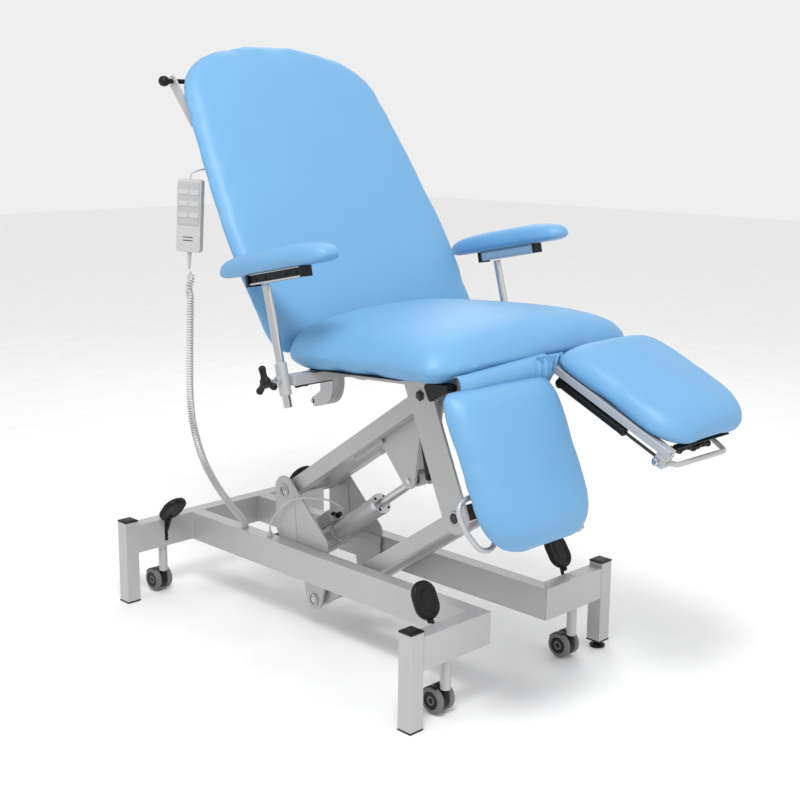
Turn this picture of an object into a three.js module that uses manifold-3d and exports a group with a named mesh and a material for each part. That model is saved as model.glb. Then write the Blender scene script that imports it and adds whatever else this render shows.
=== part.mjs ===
// Podiatry treatment chair: tubular base on four legs, a parallelogram lift with an electric
// actuator, a padded seat, a reclining back rest, two hinged leg rests and two arm rests.
// Millimetres, +Z up, -Y towards the feet. The origin is on the floor under the middle of the chair.

import * as THREE from 'three';
import { mergeVertices } from 'three/addons/utils/BufferGeometryUtils.js';
import Module from 'manifold-3d';

const wasm = await Module();
wasm.setup();

// ---------------------------------------------------------------- driving dimensions

const GAP = 0.3;                 // space kept between faces that touch
const CENTRE_Y = 181.5;          // shift that puts the origin under the middle of the chair

// base frame
const LEG = 40;                  // square leg tube
const LEG_X = 342;               // leg centres
const LEG_Y = 549;
const LEG_TOP = 230;
const RAIL_X = 121;              // long rail centres
const RAIL_W = 40;
const RAIL_H = 80;
const RAIL_TOP = 219;
const WALL = 3;                  // wall of the rectangular tubes
const RAIL_Z = RAIL_TOP - RAIL_H / 2;
const FOOT_LIFT = 18;            // height of the leg that stands on the levelling foot

// casters
const CASTER_X = 230;
const GUIDE_R = 12;
const GUIDE_LOW = 62;
const GUIDE_TOP = 150;
const STEM_R = 6.5;
const TRAIL = 22;
const WHEEL_R = 31.5;
const WHEEL_Z = 33.5;
const WHEEL_W = 17;
const HOOD_W = 17;
const PEDAL_PIVOT = [8, 180];    // inward from the beam's middle, and height
const SLOT = 60;                 // height of the slot that the pedal's stalk comes through
const STEM_FOOT = 59;
const STEM_TOP = 132;

// lift linkage, in the YZ plane
const P1 = [166, 351];           // upper arm, rear pivot
const ARM = [-495, 335.5];       // rear pivot to front pivot
const LINK = [-117, -274.5];     // upper pivot to lower pivot
const P2 = [P1[0] + LINK[0], P1[1] + LINK[1]];
const P3 = [P1[0] + ARM[0], P1[1] + ARM[1]];
const P4 = [P2[0] + ARM[0], P2[1] + ARM[1]];
const ARM_TUBE = 40;
const ARM_X = 62;                // centres of the two tubes of each arm
const PIN_R = 12;
const PIN_PLAY = 0.5;
const BOSS_R = 15.5;             // bush around each pivot shaft
const PLATE = 8;                 // thickness of the pivot plates
const BASE_PLATE_X = 96.5;
const FRONT_PLATE_X = 92;

// electric actuator between the base and the upper arm
const ACT_BASE = [130, 188];
const ACT_PIN = [-236, 449];
const ACT_R = 27;
const ACT_TUBE = 288;            // base pivot to the end of the cylinder
const ACT_ROD_R = 11;
const CLEVIS_X = 35;
const CLEVIS_PIN_R = 6;
const EYE_HOLE_R = 13;

// seat
const SEAT_FRONT = -626;
const SEAT_REAR = -141;
const SEAT_HALF_REAR = 350;
const SEAT_HALF_FRONT = 346;
const SEAT_CORNER = 90;         // how far the front corners are drawn in
const SEAT_SEAM = 24;            // height of the seam, of the side's top and of the crown
const SEAT_SIDE = 88;
const SEAT_CROWN = 38;
const SEAT_BOTTOM = 757;         // underside of the cushion at its rear edge
const SEAT_TILT = 3.2;           // degrees, front edge higher
const FRAME_TUBE = 30;

// back rest
const BACK_HINGE = [-84, 752];
const BACK_LEAN = 32.1;          // degrees from upright
const BACK_FOOT = [-102, 850];   // a point on the front face of the cushion
const BACK_LOW = -58;            // lower and upper ends along the cushion, from that point
const BACK_HIGH = 786;
const BACK_THICK = 54;

// leg rests
const LEG_HINGE = [-586, 800];
const LEFT_DROP = 66;            // degrees below level
const RIGHT_DROP = 24.5;
const PAD_START = 44;            // distance of the cushion's ends from the hinge
const PAD_END = 400;
const PAD_LOW = 14;              // underside of the cushion above the hinge
const PAD_THICK = 52;
const PAD_CROWN = 16;
const PAD_IN = 8;                // inner and outer edges from the middle of the chair
const PAD_OUT = 350;

// arm rests
const POST_X = 395.6;
const POST_TOP = [-131, 958];
const POST_LOW = [-205, 682];
const POST_R = 10;
const REST_TILT = 11.5;          // degrees, front end higher
const REST_AT = [-131, 983];     // where the post's line meets the cushion's underside
const REST_LENGTH = 392;
const REST_HALF = 47;
const REST_THICK = 47;
const CHANNEL = [32, 200, 26];   // channel under the cushion

// hand control and its cord
const HANDSET = [64, 22, 178];   // width, depth, height
const HANDSET_AT = [-341, 226, 1086];
const HANDSET_TURN = -60;        // degrees about the vertical
const HANDSET_ROLL = 3;
const COIL_R = 10;
const CORD_R = 2.6;
const CORD_ROUTE = [
  [-342, 233, 880], [-346, 232, 800], [-349, 232, 720], [-350, 233, 640], [-344, 236, 580],
  [-331, 240, 530], [-314, 246, 485], [-292, 253, 440], [-266, 262, 400], [-238, 271, 362],
  [-209, 280, 327], [-180, 289, 294], [-150, 298, 262], [-128, 305, 236],
];

// thin lead from the rail to the actuator
const LEAD_R = 2.5;
const LEAD_ROUTE = [
  [-121, 203, 228], [-120, 198, 262], [-114, 150, 318], [-107, 95, 346], [-90, 50, 352], [-60, 26, 344],
  [-32, 4, 320],
];

// ---------------------------------------------------------------- materials

function finish(color, roughness, metalness) {
  return new THREE.MeshStandardMaterial({ color, roughness, metalness });
}

const PAINT = finish(0xb9b9b9, 0.45, 0.1);
const BLACK = finish(0x161616, 0.5, 0);
const CHROME = finish(0xd8d8d8, 0.15, 1);
const VINYL = finish(0x80b6e6, 0.55, 0);
const TYRE = finish(0x8a8a8a, 0.7, 0);
const SHELL = finish(0xd4d4d4, 0.5, 0);
const ALU = finish(0xbcbcc0, 0.35, 0.8);

// ---------------------------------------------------------------- solids

const rad = THREE.MathUtils.degToRad;
const V = (x, y, z) => new THREE.Vector3(x, y, z);

function solid(geometry) {
  const bare = geometry.clone();
  bare.deleteAttribute('normal');
  bare.deleteAttribute('uv');
  const merged = mergeVertices(bare, 1e-4);
  return new wasm.Manifold(new wasm.Mesh({
    numProp: 3,
    vertProperties: new Float32Array(merged.attributes.position.array),
    triVerts: new Uint32Array(merged.index.array),
  }));
}

function surface(body) {
  const mesh = body.getMesh();
  const geometry = new THREE.BufferGeometry();
  geometry.setAttribute('position', new THREE.BufferAttribute(new Float32Array(mesh.vertProperties), 3));
  geometry.setIndex(new THREE.BufferAttribute(new Uint32Array(mesh.triVerts), 1));
  geometry.computeVertexNormals();
  return geometry;
}

function join(geometries, cuts = []) {
  let body = solid(geometries[0]);
  for (const geometry of geometries.slice(1)) body = body.add(solid(geometry));
  for (const cut of cuts) body = body.subtract(solid(cut));
  return surface(body);
}

const box = (sx, sy, sz, x = 0, y = 0, z = 0) => new THREE.BoxGeometry(sx, sy, sz).translate(x, y, z);

// A round bar between two points.
function bar(a, b, radius, sides = 20, endRadius = radius) {
  const from = V(...a);
  const to = V(...b);
  const length = from.distanceTo(to);
  const geometry = new THREE.CylinderGeometry(endRadius, radius, length, sides);
  const turn = new THREE.Quaternion().setFromUnitVectors(V(0, 1, 0), to.clone().sub(from).normalize());
  geometry.applyQuaternion(turn);
  return geometry.translate(...from.add(to).multiplyScalar(0.5).toArray());
}

// A round bar along X through a point of the YZ plane.
const crossBar = (yz, x0, x1, radius, sides = 18) => bar([x0, ...yz], [x1, ...yz], radius, sides);

// A rectangular bar between two points of the YZ plane, width along X.
function beamYZ(a, b, width, depth, x, extra = 0) {
  const dy = b[0] - a[0];
  const dz = b[1] - a[1];
  const length = Math.hypot(dy, dz) + 2 * extra;
  const geometry = new THREE.BoxGeometry(width, length, depth);
  geometry.rotateX(Math.atan2(dz, dy));
  return geometry.translate(x, (a[0] + b[0]) / 2, (a[1] + b[1]) / 2);
}

// A plate in the YZ plane, centred on x, around an outline of [y, z] points.
function plateYZ(points, x, thickness) {
  const shape = new THREE.Shape(points.map((p) => new THREE.Vector2(...p)));
  const geometry = new THREE.ExtrudeGeometry(shape, { depth: thickness, bevelEnabled: false });
  geometry.applyMatrix4(new THREE.Matrix4().set(0, 0, 1, 0, 1, 0, 0, 0, 0, 1, 0, 0, 0, 0, 0, 1));
  return geometry.translate(x - thickness / 2, 0, 0);
}

// The outline that wraps circles given as [y, z, radius], in order.
function hull(circles, steps = 16) {
  const points = [];
  for (const [y, z, r] of circles) {
    for (let i = 0; i < steps; i += 1) {
      const a = (2 * Math.PI * i) / steps;
      points.push([y + r * Math.cos(a), z + r * Math.sin(a)]);
    }
  }
  points.sort((p, q) => p[0] - q[0] || p[1] - q[1]);
  const cross = (o, a, b) => (a[0] - o[0]) * (b[1] - o[1]) - (a[1] - o[1]) * (b[0] - o[0]);
  const half = (list) => {
    const out = [];
    for (const p of list) {
      while (out.length > 1 && cross(out[out.length - 2], out[out.length - 1], p) <= 1e-6) out.pop();
      out.push(p);
    }
    out.pop();
    return out;
  };
  return [...half(points), ...half([...points].reverse())];
}

// A round section swept along points.
function sweep(points, radius, sides = 8, steps = 40, tension = 0.5) {
  const path = new THREE.CatmullRomCurve3(points.map((p) => V(...p)), false, 'catmullrom', tension);
  return sweepPath(path, radius, sides, steps);
}

function sweepPath(path, radius, sides, steps) {
  const section = new THREE.Shape();
  section.absarc(0, 0, radius, 0, 2 * Math.PI, false);
  const points = section.getPoints(sides).slice(0, sides);
  return new THREE.ExtrudeGeometry(new THREE.Shape(points), { steps, extrudePath: path, curveSegments: 1 });
}

// A straight-sided path with round corners.
function bentPath(points, radius) {
  const path = new THREE.CurvePath();
  const corners = points.map((p) => V(...p));
  let from = corners[0];
  for (let i = 1; i < corners.length - 1; i += 1) {
    const enter = corners[i - 1].clone().sub(corners[i]).setLength(radius).add(corners[i]);
    const leave = corners[i + 1].clone().sub(corners[i]).setLength(radius).add(corners[i]);
    path.add(new THREE.LineCurve3(from, enter));
    path.add(new THREE.QuadraticBezierCurve3(enter, corners[i], leave));
    from = leave;
  }
  path.add(new THREE.LineCurve3(from, corners[corners.length - 1]));
  return path;
}

// A plate with an outline in local XY and rounded edges, underside at z = 0.
function softPlate(shape, thickness, edge, curveSegments = 5, bevelSegments = 2) {
  const geometry = new THREE.ExtrudeGeometry(shape, {
    depth: thickness - 2 * edge,
    bevelThickness: edge,
    bevelSize: edge,
    bevelOffset: -edge,
    bevelSegments,
    curveSegments,
  });
  return geometry.translate(0, 0, edge);
}

// A crowned cushion along local Y. The edges function gives its two sides at a part t of its length.
// Its seam runs round it at one height; a squared start keeps its full height at the first end.
function cushion({ y0, y1, edges, low, seam, top, crown, rows = 12, cols = 12, squared = false }) {
  const wave = (i, n) => Math.sin(Math.PI * (i / n - 0.5));
  const soft = (t, power) => Math.sqrt(Math.max(0, 1 - Math.abs(t) ** power));
  const upper = [];
  const lower = [];
  for (let j = 0; j <= rows; j += 1) {
    const v = squared ? Math.sin((Math.PI / 2) * (j / rows)) : wave(j, rows);
    const t = squared ? v : (v + 1) / 2;
    const y = y0 + (y1 - y0) * t;
    const [x0, x1] = edges(t);
    const g = soft(v, 6);
    for (let i = 0; i <= cols; i += 1) {
      const u = wave(i, cols);
      const x = (x0 + x1) / 2 + (u * (x1 - x0)) / 2;
      upper.push(V(x, y, seam + (top - seam) * soft(u, 8) * g + crown * (1 - u * u) * g));
      lower.push(V(x, y, seam - (seam - low) * soft(u, 12) * soft(v, 12)));
    }
  }
  const list = [];
  const width = cols + 1;
  const quad = (a, b, c, d) => list.push(a, b, c, a, c, d);
  for (let j = 0; j < rows; j += 1) {
    for (let i = 0; i < cols; i += 1) {
      const [a, b, c, d] = [j * width + i, j * width + i + 1, (j + 1) * width + i + 1, (j + 1) * width + i];
      quad(upper[a], upper[b], upper[c], upper[d]);
      quad(lower[d], lower[c], lower[b], lower[a]);
    }
  }
  if (squared) {
    for (let i = 0; i < cols; i += 1) quad(upper[i + 1], upper[i], lower[i], lower[i + 1]);
  }
  if (y1 < y0) list.reverse();
  const kept = [];
  for (let i = 0; i < list.length; i += 3) {
    const [a, b, c] = list.slice(i, i + 3);
    if (new THREE.Triangle(a, b, c).getArea() > 1e-6) kept.push(a, b, c);
  }
  return new THREE.BufferGeometry().setFromPoints(kept);
}

// The value at t along a table of [t, value] rows.
function lookup(table, t) {
  let i = 1;
  while (i < table.length - 1 && table[i][0] < t) i += 1;
  const [a, b] = [table[i - 1], table[i]];
  return a[1] + ((b[1] - a[1]) * (t - a[0])) / (b[0] - a[0]);
}

// A closed outline through corners given as [x, y, radius].
function roundedShape(corners) {
  const shape = new THREE.Shape();
  const n = corners.length;
  for (let i = 0; i < n; i += 1) {
    const here = new THREE.Vector2(corners[i][0], corners[i][1]);
    const before = new THREE.Vector2(...corners[(i + n - 1) % n].slice(0, 2));
    const after = new THREE.Vector2(...corners[(i + 1) % n].slice(0, 2));
    const enter = before.sub(here).setLength(corners[i][2]).add(here);
    const leave = after.sub(here).setLength(corners[i][2]).add(here);
    if (i === 0) shape.moveTo(enter.x, enter.y);
    else shape.lineTo(enter.x, enter.y);
    shape.quadraticCurveTo(here.x, here.y, leave.x, leave.y);
  }
  shape.closePath();
  return shape;
}

// ---------------------------------------------------------------- the assembly

const chair = new THREE.Group();
const model = new THREE.Group();
model.position.y = CENTRE_Y;
chair.add(model);

function add(name, geometry, material, parent = model) {
  const mesh = new THREE.Mesh(geometry, material);
  mesh.name = name;
  parent.add(mesh);
  return mesh;
}

function groupAt(yz, degrees, parent = model) {
  const group = new THREE.Group();
  group.position.set(0, yz[0], yz[1]);
  group.rotation.x = rad(degrees);
  parent.add(group);
  return group;
}

const SIDES = [['left', -1], ['right', 1]];

// ---------------------------------------------------------------- base frame

function railPrism(side, inset, z0, z1, over) {
  const inner = RAIL_X - RAIL_W / 2 + inset;
  const outer = RAIL_X + RAIL_W / 2 - inset;
  const front = -LEG_Y - LEG / 2;
  const rear = LEG_Y - LEG / 2 - GAP + over;
  const shape = new THREE.Shape([
    new THREE.Vector2(inner, front + inset + GAP - over),
    new THREE.Vector2(outer, front + RAIL_W - inset + GAP - over),
    new THREE.Vector2(outer, rear),
    new THREE.Vector2(inner, rear),
  ]);
  const geometry = new THREE.ExtrudeGeometry(shape, { depth: z1 - z0, bevelEnabled: false });
  geometry.translate(0, 0, z0);
  return side > 0 ? geometry : mirrorX(geometry);
}

function mirrorX(geometry) {
  const body = solid(geometry).scale([-1, 1, 1]);
  return surface(body);
}

function rail(side) {
  const low = RAIL_TOP - RAIL_H;
  const outer = railPrism(side, 0, low, RAIL_TOP, 0);
  const inner = railPrism(side, WALL, low + WALL, RAIL_TOP - WALL, 60);
  return join([outer], [inner]);
}

function casterGuide(x, y) {
  return bar([x, y, GUIDE_LOW], [x, y, GUIDE_TOP], GUIDE_R, 20);
}

function guideBore(x, y) {
  return bar([x, y, GUIDE_LOW - 5], [x, y, GUIDE_TOP + 5], STEM_R + PIN_PLAY, 20);
}

function frontBeam(side) {
  const front = -LEG_Y - LEG / 2;
  const inner = RAIL_X - RAIL_W / 2;
  const outer = LEG_X - LEG / 2 - GAP;
  const low = RAIL_TOP - RAIL_H;
  const prism = (inset, over, z0, z1) => {
    const shape = new THREE.Shape([
      new THREE.Vector2(inner + inset + GAP - over, front + inset),
      new THREE.Vector2(outer + over, front + inset),
      new THREE.Vector2(outer + over, front + RAIL_W - inset),
      new THREE.Vector2(inner + RAIL_W - inset + GAP - over, front + RAIL_W - inset),
    ]);
    return new THREE.ExtrudeGeometry(shape, { depth: z1 - z0, bevelEnabled: false }).translate(0, 0, z0);
  };
  const slot = box(12, 14, SLOT, CASTER_X, front + RAIL_W, PEDAL_PIVOT[1] + 3);
  const hollow = prism(WALL, 60, low + WALL, RAIL_TOP - WALL);
  let body = solid(prism(0, 0, low, RAIL_TOP)).subtract(solid(hollow));
  body = body.add(solid(casterGuide(CASTER_X, -LEG_Y)));
  body = body.subtract(solid(guideBore(CASTER_X, -LEG_Y))).subtract(solid(slot));
  const geometry = surface(body);
  return side > 0 ? geometry : mirrorX(geometry);
}

function rearBeam() {
  const half = LEG_X - LEG / 2 - GAP;
  const tube = box(2 * half, LEG, RAIL_H, 0, LEG_Y, RAIL_Z);
  const cuts = [];
  const hollow = box(2 * half + 20, LEG - 2 * WALL, RAIL_H - 2 * WALL, 0, LEG_Y, RAIL_Z);
  let body = solid(tube).subtract(solid(hollow));
  for (const [, side] of SIDES) {
    body = body.add(solid(casterGuide(side * CASTER_X, LEG_Y)));
    cuts.push(guideBore(side * CASTER_X, LEG_Y));
    cuts.push(box(12, 14, SLOT, side * CASTER_X, LEG_Y - LEG / 2, PEDAL_PIVOT[1] + 3));
  }
  for (const cut of cuts) body = body.subtract(solid(cut));
  return surface(body);
}

function leg(side, end, low) {
  const tube = box(LEG, LEG, LEG_TOP - low, side * LEG_X, end * LEG_Y, (LEG_TOP + low) / 2);
  const hollow = box(LEG - 2 * WALL, LEG - 2 * WALL, LEG_TOP - low, side * LEG_X, end * LEG_Y,
    (LEG_TOP + low) / 2 + 5);
  return join([tube], [hollow]);
}

for (const [name, side] of SIDES) {
  add(`base_rail_${name}`, rail(side), PAINT);
  add(`front_beam_${name}`, frontBeam(side), PAINT);
}
add('rear_beam', rearBeam(), PAINT);

const CORNERS = [
  { name: 'front_left', side: -1, end: -1, inward: 66, height: 256, lean: 25 },
  { name: 'front_right', side: 1, end: -1, inward: 51, height: 270, lean: 34 },
  { name: 'rear_left', side: -1, end: 1, inward: 54, height: 260, lean: 42 },
  { name: 'rear_right', side: 1, end: 1, inward: 60, height: 264, lean: 42 },
];
for (const corner of CORNERS) {
  const low = corner.name === 'front_right' ? FOOT_LIFT : 0;
  add(`leg_${corner.name}`, leg(corner.side, corner.end, low), PAINT);
}

function levellingFoot() {
  const stud = bar([LEG_X, -LEG_Y, 8], [LEG_X, -LEG_Y, FOOT_LIFT - GAP], 8, 12);
  const profile = [[0, 0], [17, 0], [20, 3], [20, 6], [11, 11], [0, 11]];
  const disc = new THREE.LatheGeometry(profile.map((p) => new THREE.Vector2(...p)), 20).rotateX(Math.PI / 2).translate(LEG_X, -LEG_Y, 0);
  return join([disc, stud]);
}
add('levelling_foot', levellingFoot(), BLACK);

// ---------------------------------------------------------------- casters and their pedals

function pedal(corner) {
  const x = corner.side * CASTER_X;
  const y = corner.end * (LEG_Y - corner.inward);
  const shape = roundedShape([[-36, -47, 32], [36, -47, 32], [36, 47, 32], [-36, 47, 32]]);
  const plate = softPlate(shape, 18, 5, 4, 2).translate(0, 0, -9);
  plate.rotateX(Math.PI / 2 + corner.end * rad(corner.lean));
  plate.translate(x, y, corner.height);
  const hub = [x, corner.end * (LEG_Y - PEDAL_PIVOT[0]), PEDAL_PIVOT[1]];
  const root = [x, y + corner.end * 12 * Math.sin(rad(corner.lean)), corner.height - 22];
  return join([plate, bar(hub, root, 4.5, 10)]);
}

function casterStem(corner) {
  const at = [corner.side * CASTER_X, corner.end * LEG_Y];
  return bar([...at, STEM_FOOT], [...at, STEM_TOP], STEM_R, 16);
}

function casterFork(corner) {
  const x = corner.side * CASTER_X;
  const y = corner.end * LEG_Y;
  const centre = [y + TRAIL, WHEEL_Z];
  const hood = crossBar(centre, x - HOOD_W / 2, x + HOOD_W / 2, WHEEL_R - 2.5, 20);
  const neck = bar([x, y, WHEEL_Z + 4], [x, y, STEM_FOOT - GAP], 8.4, 12);
  return join([hood, neck], [crossBar(centre, x - 30, x + 30, 5.5, 16)]);
}

function casterWheels(corner) {
  const x = corner.side * CASTER_X;
  const centre = [corner.end * LEG_Y + TRAIL, WHEEL_Z];
  const parts = [crossBar(centre, x - HOOD_W / 2 - 4, x + HOOD_W / 2 + 4, 5, 12)];
  const chamfer = 3;
  for (const side of [-1, 1]) {
    const near = HOOD_W / 2 + 0.8;
    const profile = [[0, 0], [WHEEL_R - chamfer, 0], [WHEEL_R, chamfer], [WHEEL_R, WHEEL_W - chamfer],
      [WHEEL_R - chamfer, WHEEL_W], [0, WHEEL_W]];
    const wheel = new THREE.LatheGeometry(profile.map((p) => new THREE.Vector2(...p)), 22);
    wheel.rotateZ(-side * Math.PI / 2);
    parts.push(wheel.translate(x + side * near, ...centre));
  }
  return join(parts);
}

for (const corner of CORNERS) {
  add(`pedal_${corner.name}`, pedal(corner), BLACK);
  add(`caster_stem_${corner.name}`, casterStem(corner), PAINT);
  add(`caster_fork_${corner.name}`, casterFork(corner), BLACK);
  add(`caster_wheels_${corner.name}`, casterWheels(corner), TYRE);
}

// ---------------------------------------------------------------- lift linkage

function baseBracket() {
  const parts = [];
  const outlines = [
    hull([[...P1, 40], [162, 232, 34], [20, 232, 26]]),
    hull([[...ACT_BASE, 30], [162, 232, 34], [20, 232, 26], [30, 160, 26]]),
    hull([[...P2, 29], [66, 170, 34], [22, 170, 26]]),
  ];
  for (const [, side] of SIDES) {
    for (const outline of outlines) parts.push(plateYZ(outline, side * BASE_PLATE_X, PLATE));
  }
  const reach = BASE_PLATE_X;
  parts.push(crossBar(P1, -reach, reach, PIN_R));
  parts.push(crossBar(P2, -reach, reach, PIN_R));
  parts.push(crossBar(ACT_BASE, -reach, reach, 8));
  return join(parts);
}
add('base_bracket', baseBracket(), PAINT);

const bore = (yz, radius = PIN_R + PIN_PLAY) => crossBar(yz, -200, 200, radius);
const along = (a, b, t) => [a[0] + (b[0] - a[0]) * t, a[1] + (b[1] - a[1]) * t];

// Two open-ended square tubes with a bushed cross tube at each end; the ties between them are plates.
const TIE_WIDTH = 2 * (ARM_X - ARM_TUBE / 2) + 2;

function arm(a, b, extras) {
  const inner = ARM_TUBE - 2 * WALL;
  const tubes = SIDES.map(([, side]) => {
    const outside = solid(beamYZ(a, b, ARM_TUBE, ARM_TUBE, side * ARM_X, ARM_TUBE / 2));
    return outside.subtract(solid(beamYZ(a, b, inner, inner, side * ARM_X, ARM_TUBE)));
  });
  let body = tubes[0].add(tubes[1]);
  const half = ARM_X + ARM_TUBE / 2;
  for (const end of [a, b]) body = body.add(solid(crossBar(end, -half, half, BOSS_R)));
  for (const extra of extras) body = body.add(solid(extra));
  for (const end of [a, b]) body = body.subtract(solid(bore(end)));
  return surface(body);
}

function upperArm() {
  const clevis = SIDES.map(([, side]) => {
    const outline = hull([
      [...ACT_PIN, 22],
      [...along(P1, P3, 0.60), 12],
      [...along(P1, P3, 0.88), 12],
    ]);
    return plateYZ(outline, side * CLEVIS_X, PLATE);
  });
  const ties = [[0.53, 0.63], [0.84, 0.88]].map(([a, b]) => {
    return beamYZ(along(P1, P3, a), along(P1, P3, b), TIE_WIDTH, 10, 0);
  });
  const pin = crossBar(ACT_PIN, -CLEVIS_X, CLEVIS_X, CLEVIS_PIN_R, 16);
  return arm(P1, P3, [...clevis, ...ties, pin]);
}

function lowerArm() {
  const ties = [0.14, 0.86].map((t) => {
    return beamYZ(along(P2, P4, t - 0.03), along(P2, P4, t + 0.03), TIE_WIDTH, 12, 0);
  });
  return arm(P2, P4, ties);
}
add('upper_arm', upperArm(), PAINT);
add('lower_arm', lowerArm(), PAINT);

// ---------------------------------------------------------------- actuator, built along local +Y

const ACT_ANGLE = Math.atan2(ACT_PIN[1] - ACT_BASE[1], ACT_PIN[0] - ACT_BASE[0]);
const ACT_LENGTH = Math.hypot(ACT_PIN[0] - ACT_BASE[0], ACT_PIN[1] - ACT_BASE[1]);
const actuator = groupAt(ACT_BASE, THREE.MathUtils.radToDeg(ACT_ANGLE));

function actuatorCylinder() {
  const tube = bar([0, 40, 0], [0, ACT_TUBE - 14, 0], ACT_R, 28);
  const cap = bar([0, ACT_TUBE - 14, 0], [0, ACT_TUBE, 0], ACT_R + 1.5, 28);
  const housing = bar([0, 22, 0], [0, 96, 0], 34, 28);
  const motor = box(50, 62, 44, 0, 76, -42);
  const eye = crossBar([0, 0], -15, 15, 18, 20);
  const neck = box(26, 34, 26, 0, 16, 0);
  const cuts = [
    crossBar([0, 0], -40, 40, 8.5, 20),
    bar([0, 60, 0], [0, ACT_TUBE + 5, 0], ACT_ROD_R + 1, 20),
  ];
  return join([tube, cap, housing, motor, eye, neck], cuts);
}

function actuatorRod() {
  const rod = bar([0, 176, 0], [0, ACT_LENGTH - 16, 0], ACT_ROD_R, 20);
  const eye = crossBar([ACT_LENGTH, 0], -14, 14, 20, 24);
  return join([rod, eye], [crossBar([ACT_LENGTH, 0], -30, 30, EYE_HOLE_R, 20)]);
}
add('actuator_cylinder', actuatorCylinder(), PAINT, actuator);
add('actuator_rod', actuatorRod(), ALU, actuator);

// ---------------------------------------------------------------- seat

const seat = groupAt([SEAT_REAR, SEAT_BOTTOM], -SEAT_TILT);
const SEAT_LENGTH = SEAT_REAR - SEAT_FRONT;
const HINGE_LUG_X = [44, 256];   // middles of the fixed hinge lugs
const LUG = 8;

function seatPad() {
  const half = (t) => {
    const w = SEAT_HALF_REAR + (SEAT_HALF_FRONT - SEAT_HALF_REAR) * t;
    return w - 10 * Math.max(0, 1 - t / 0.08) ** 2 - SEAT_CORNER * Math.max(0, (t - 0.88) / 0.12) ** 3;
  };
  const pad = cushion({
    y0: 0, y1: -SEAT_LENGTH, edges: (t) => [-half(t), half(t)], low: 0, seam: SEAT_SEAM,
    top: SEAT_SIDE, crown: SEAT_CROWN, rows: 14, cols: 16, squared: true,
  });
  const cuts = [];
  for (const [, side] of SIDES) {
    for (const x of HINGE_LUG_X) cuts.push(box(30, 100, 92, side * x, -SEAT_LENGTH + 44, -14));
  }
  return join([pad], cuts);
}
add('seat_pad', seatPad(), VINYL, seat);

// Height of the middle of the seat's tubes under the cushion.
const seatTubeZ = (y) => SEAT_BOTTOM + (SEAT_REAR - y) * Math.tan(rad(SEAT_TILT)) - FRAME_TUBE / 2 - 2;

function seatFrame() {
  const parts = [];
  for (const [, side] of SIDES) {
    const [rear, front] = [-150, -560].map((y) => [y, seatTubeZ(y)]);
    parts.push(beamYZ(rear, front, FRAME_TUBE, FRAME_TUBE, side * 200));
    const head = seatTubeZ(-300) - 5;
    const outline = hull([[...P4, 40], [-280, head, 20], [-324, head, 20]]);
    parts.push(plateYZ(outline, side * FRONT_PLATE_X, PLATE));
    for (const x of HINGE_LUG_X) {
      const lug = hull([[...LEG_HINGE, 11], [-552, seatTubeZ(-552) - 2, 12]]);
      parts.push(plateYZ(lug, side * x, LUG));
      parts.push(crossBar(LEG_HINGE, side * x - 13, side * x + 13, 6, 14));
    }
    parts.push(box(POST_X - 190, 32, 24, (side * (POST_X + 190)) / 2, -198, seatTubeZ(-198)));
    const hinge = hull([[...BACK_HINGE, 14], [-160, seatTubeZ(-160), 11]]);
    parts.push(plateYZ(hinge, side * 200, 10));
    parts.push(crossBar(BACK_HINGE, side * 200 - 5, side * 200 + 27, 7, 14));
  }
  parts.push(box(530, FRAME_TUBE, FRAME_TUBE - 2, 0, -544, seatTubeZ(-544) - 1));
  parts.push(box(400, FRAME_TUBE, FRAME_TUBE, 0, -302, seatTubeZ(-302)));
  parts.push(box(400, FRAME_TUBE, FRAME_TUBE, 0, -166, seatTubeZ(-166)));
  parts.push(crossBar(P3, -FRONT_PLATE_X, FRONT_PLATE_X, PIN_R));
  parts.push(crossBar(P4, -FRONT_PLATE_X, FRONT_PLATE_X, PIN_R));
  return join(parts);
}

// Sleeves at the ends of the cross arm hold the arm rest posts.
const POST_DIR = [POST_TOP[0] - POST_LOW[0], POST_TOP[1] - POST_LOW[1]];
const postAt = (t) => [POST_LOW[0] + POST_DIR[0] * t, POST_LOW[1] + POST_DIR[1] * t];
const SLEEVE = [0.1, 0.36];

function carriage() {
  const parts = [seatFrame()];
  const cuts = [];
  for (const [, side] of SIDES) {
    const [low, high] = SLEEVE.map((t) => [side * POST_X, ...postAt(t)]);
    parts.push(bar(low, high, 14, 20));
    const [below, above] = [-0.2, 1.1].map((t) => [side * POST_X, ...postAt(t)]);
    cuts.push(bar(below, above, POST_R + PIN_PLAY, 20));
  }
  return join(parts, cuts);
}
add('seat_carriage', carriage(), PAINT);

function backrestLever() {
  const at = [-148, 716];
  return join([bar([-322, ...at], [-215, ...at], 5, 12), bar([-326, ...at], [-290, ...at], 7, 12)]);
}
add('backrest_release_lever', backrestLever(), BLACK);

// ---------------------------------------------------------------- back rest

const back = groupAt(BACK_FOOT, 90 - BACK_LEAN);

// Half widths of the cushion at heights along it.
const BACK_OUTLINE = [
  [BACK_LOW, 302], [-44, 334], [0, 350], [120, 360], [260, 360], [390, 350], [543, 334], [610, 325],
  [650, 315], [685, 297], [715, 269], [742, 226], [764, 166], [BACK_HIGH, 70],
];

function backrestPad() {
  const half = (t) => lookup(BACK_OUTLINE, BACK_LOW + (BACK_HIGH - BACK_LOW) * t);
  return join([cushion({
    y0: BACK_LOW, y1: BACK_HIGH, edges: (t) => [-half(t), half(t)], low: -BACK_THICK,
    seam: -BACK_THICK / 2, top: 0, crown: 8, rows: 22, cols: 12,
  })]);
}
add('backrest_pad', backrestPad(), VINYL, back);

// From the chair's axes into the back rest's own.
function toBack(y, z) {
  const p = V(0, y, z).sub(back.position).applyEuler(new THREE.Euler(-back.rotation.x, 0, 0));
  return [p.y, p.z];
}

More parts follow.
